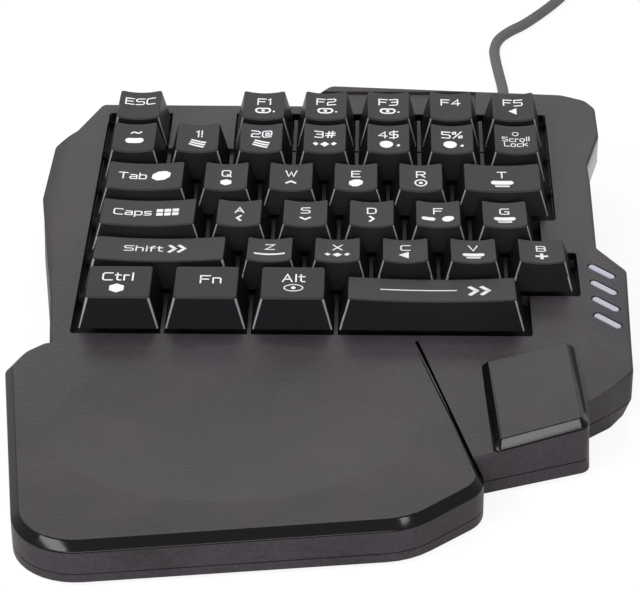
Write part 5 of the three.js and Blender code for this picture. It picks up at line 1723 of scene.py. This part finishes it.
def add_floor():
    deselect()
    bpy.ops.mesh.primitive_plane_add(size=FLOOR_SIZE)
    floor = bpy.context.object
    floor.name = "floor"
    material = bpy.data.materials.new("Pale floor")
    material.use_nodes = True
    nodes, links = material.node_tree.nodes, material.node_tree.links
    shader = nodes["Principled BSDF"]
    shader.inputs["Base Color"].default_value = (*colours().floor, 1)
    shader.inputs["Roughness"].default_value = FLOOR_ROUGHNESS
    shader.inputs["Specular IOR Level"].default_value = FLOOR_SPECULAR
    white_to_camera(nodes, links, shader, nodes["Material Output"], FLOOR_WHITE_SHARE, "Surface")
    floor.data.materials.append(material)


def add_world():
    world = bpy.data.worlds.new("Studio")
    bpy.context.scene.world = world
    world.use_nodes = True
    nodes, links = world.node_tree.nodes, world.node_tree.links
    plain = nodes["Background"]
    plain.inputs["Color"].default_value = (1, 1, 1, 1)
    plain.inputs["Strength"].default_value = WORLD_LEVEL
    white_to_camera(nodes, links, plain, nodes["World Output"], 1, "World")


def add_stage():
    bpy.context.scene.view_settings.view_transform = "Standard"
    add_floor()
    add_world()
    for lamp in LAMPS:
        add_lamp(*lamp)


# Operators, panel and registration


class KEYPAD_OT_camera(bpy.types.Operator):
    """Add the camera of the photograph"""

    bl_idname = "keypad.camera"
    bl_label = "Camera"

    def execute(self, context):
        add_camera()
        return {"FINISHED"}


class KEYPAD_OT_lead(bpy.types.Operator):
    """Lay the lead with its coil, tie, relief and plug"""

    bl_idname = "keypad.lead"
    bl_label = "Lead"

    def execute(self, context):
        build_lead()
        return {"FINISHED"}


class KEYPAD_OT_top_case(bpy.types.Operator):
    """Model the top case with its openings, palm rest and thumb pad"""

    bl_idname = "keypad.top_case"
    bl_label = "Top case"

    def execute(self, context):
        build_top_case()
        return {"FINISHED"}


class KEYPAD_OT_bottom_case(bpy.types.Operator):
    """Model the bottom case with its ribs, posts and recesses"""

    bl_idname = "keypad.bottom_case"
    bl_label = "Bottom case"

    def execute(self, context):
        build_bottom_case()
        return {"FINISHED"}


class KEYPAD_OT_keycaps(bpy.types.Operator):
    """Model the keycaps with their printed legends"""

    bl_idname = "keypad.keycaps"
    bl_label = "Keycaps"

    def execute(self, context):
        build_keycaps()
        return {"FINISHED"}


class KEYPAD_OT_light_bars(bpy.types.Operator):
    """Model the light bars and their strip"""

    bl_idname = "keypad.light_bars"
    bl_label = "Light bars"

    def execute(self, context):
        build_light_bars()
        return {"FINISHED"}


class KEYPAD_OT_fasteners(bpy.types.Operator):
    """Dress the screws and the rubber pads"""

    bl_idname = "keypad.fasteners"
    bl_label = "Screws and pads"

    def execute(self, context):
        for node in frame["nodes"]:
            if node.startswith("screw_"):
                dress_small(node, f"case_{node}", "steel", SCREW_EDGE)
            if node.startswith("pad_"):
                dress_small(node, f"rubber_{node}", "rubber", PAD_EDGE)
        return {"FINISHED"}


class KEYPAD_OT_inside(bpy.types.Operator):
    """Give the inner pieces their finishes"""

    bl_idname = "keypad.inside"
    bl_label = "Inner pieces"

    def execute(self, context):
        dress_inside()
        return {"FINISHED"}


class KEYPAD_OT_stage(bpy.types.Operator):
    """Add the floor, the world and the lamps"""

    bl_idname = "keypad.stage"
    bl_label = "Stage"

    def execute(self, context):
        add_stage()
        return {"FINISHED"}


OPERATORS = [
    KEYPAD_OT_camera,
    KEYPAD_OT_lead,
    KEYPAD_OT_top_case,
    KEYPAD_OT_bottom_case,
    KEYPAD_OT_keycaps,
    KEYPAD_OT_light_bars,
    KEYPAD_OT_fasteners,
    KEYPAD_OT_inside,
    KEYPAD_OT_stage,
]


class KEYPAD_PT_sidebar(bpy.types.Panel):
    """Sizes, colours and steps of the keypad"""

    bl_idname = "KEYPAD_PT_sidebar"
    bl_label = "Gaming keypad"
    bl_space_type = "VIEW_3D"
    bl_region_type = "UI"
    bl_category = "Keypad"

    def draw(self, context):
        layout = self.layout
        for group in (context.scene.keypad_sizes, context.scene.keypad_colours):
            for name in group.__annotations__:
                layout.prop(group, name)
        for operator in OPERATORS:
            layout.operator(operator.bl_idname)


CLASSES = [KeypadSizes, KeypadColours, *OPERATORS, KEYPAD_PT_sidebar]


def register():
    for item in CLASSES:
        bpy.utils.register_class(item)
    bpy.types.Scene.keypad_sizes = bpy.props.PointerProperty(type=KeypadSizes)
    bpy.types.Scene.keypad_colours = bpy.props.PointerProperty(type=KeypadColours)


def unregister():
    del bpy.types.Scene.keypad_colours
    del bpy.types.Scene.keypad_sizes
    for item in reversed(CLASSES):
        bpy.utils.unregister_class(item)


def main():
    register()
    bpy.ops.keypad.camera()
    bpy.ops.keypad.lead()
    bpy.ops.keypad.top_case()
    bpy.ops.keypad.bottom_case()
    bpy.ops.keypad.keycaps()
    bpy.ops.keypad.light_bars()
    bpy.ops.keypad.fasteners()
    bpy.ops.keypad.inside()
    bpy.ops.keypad.stage()


if __name__ == "__main__":
    main()
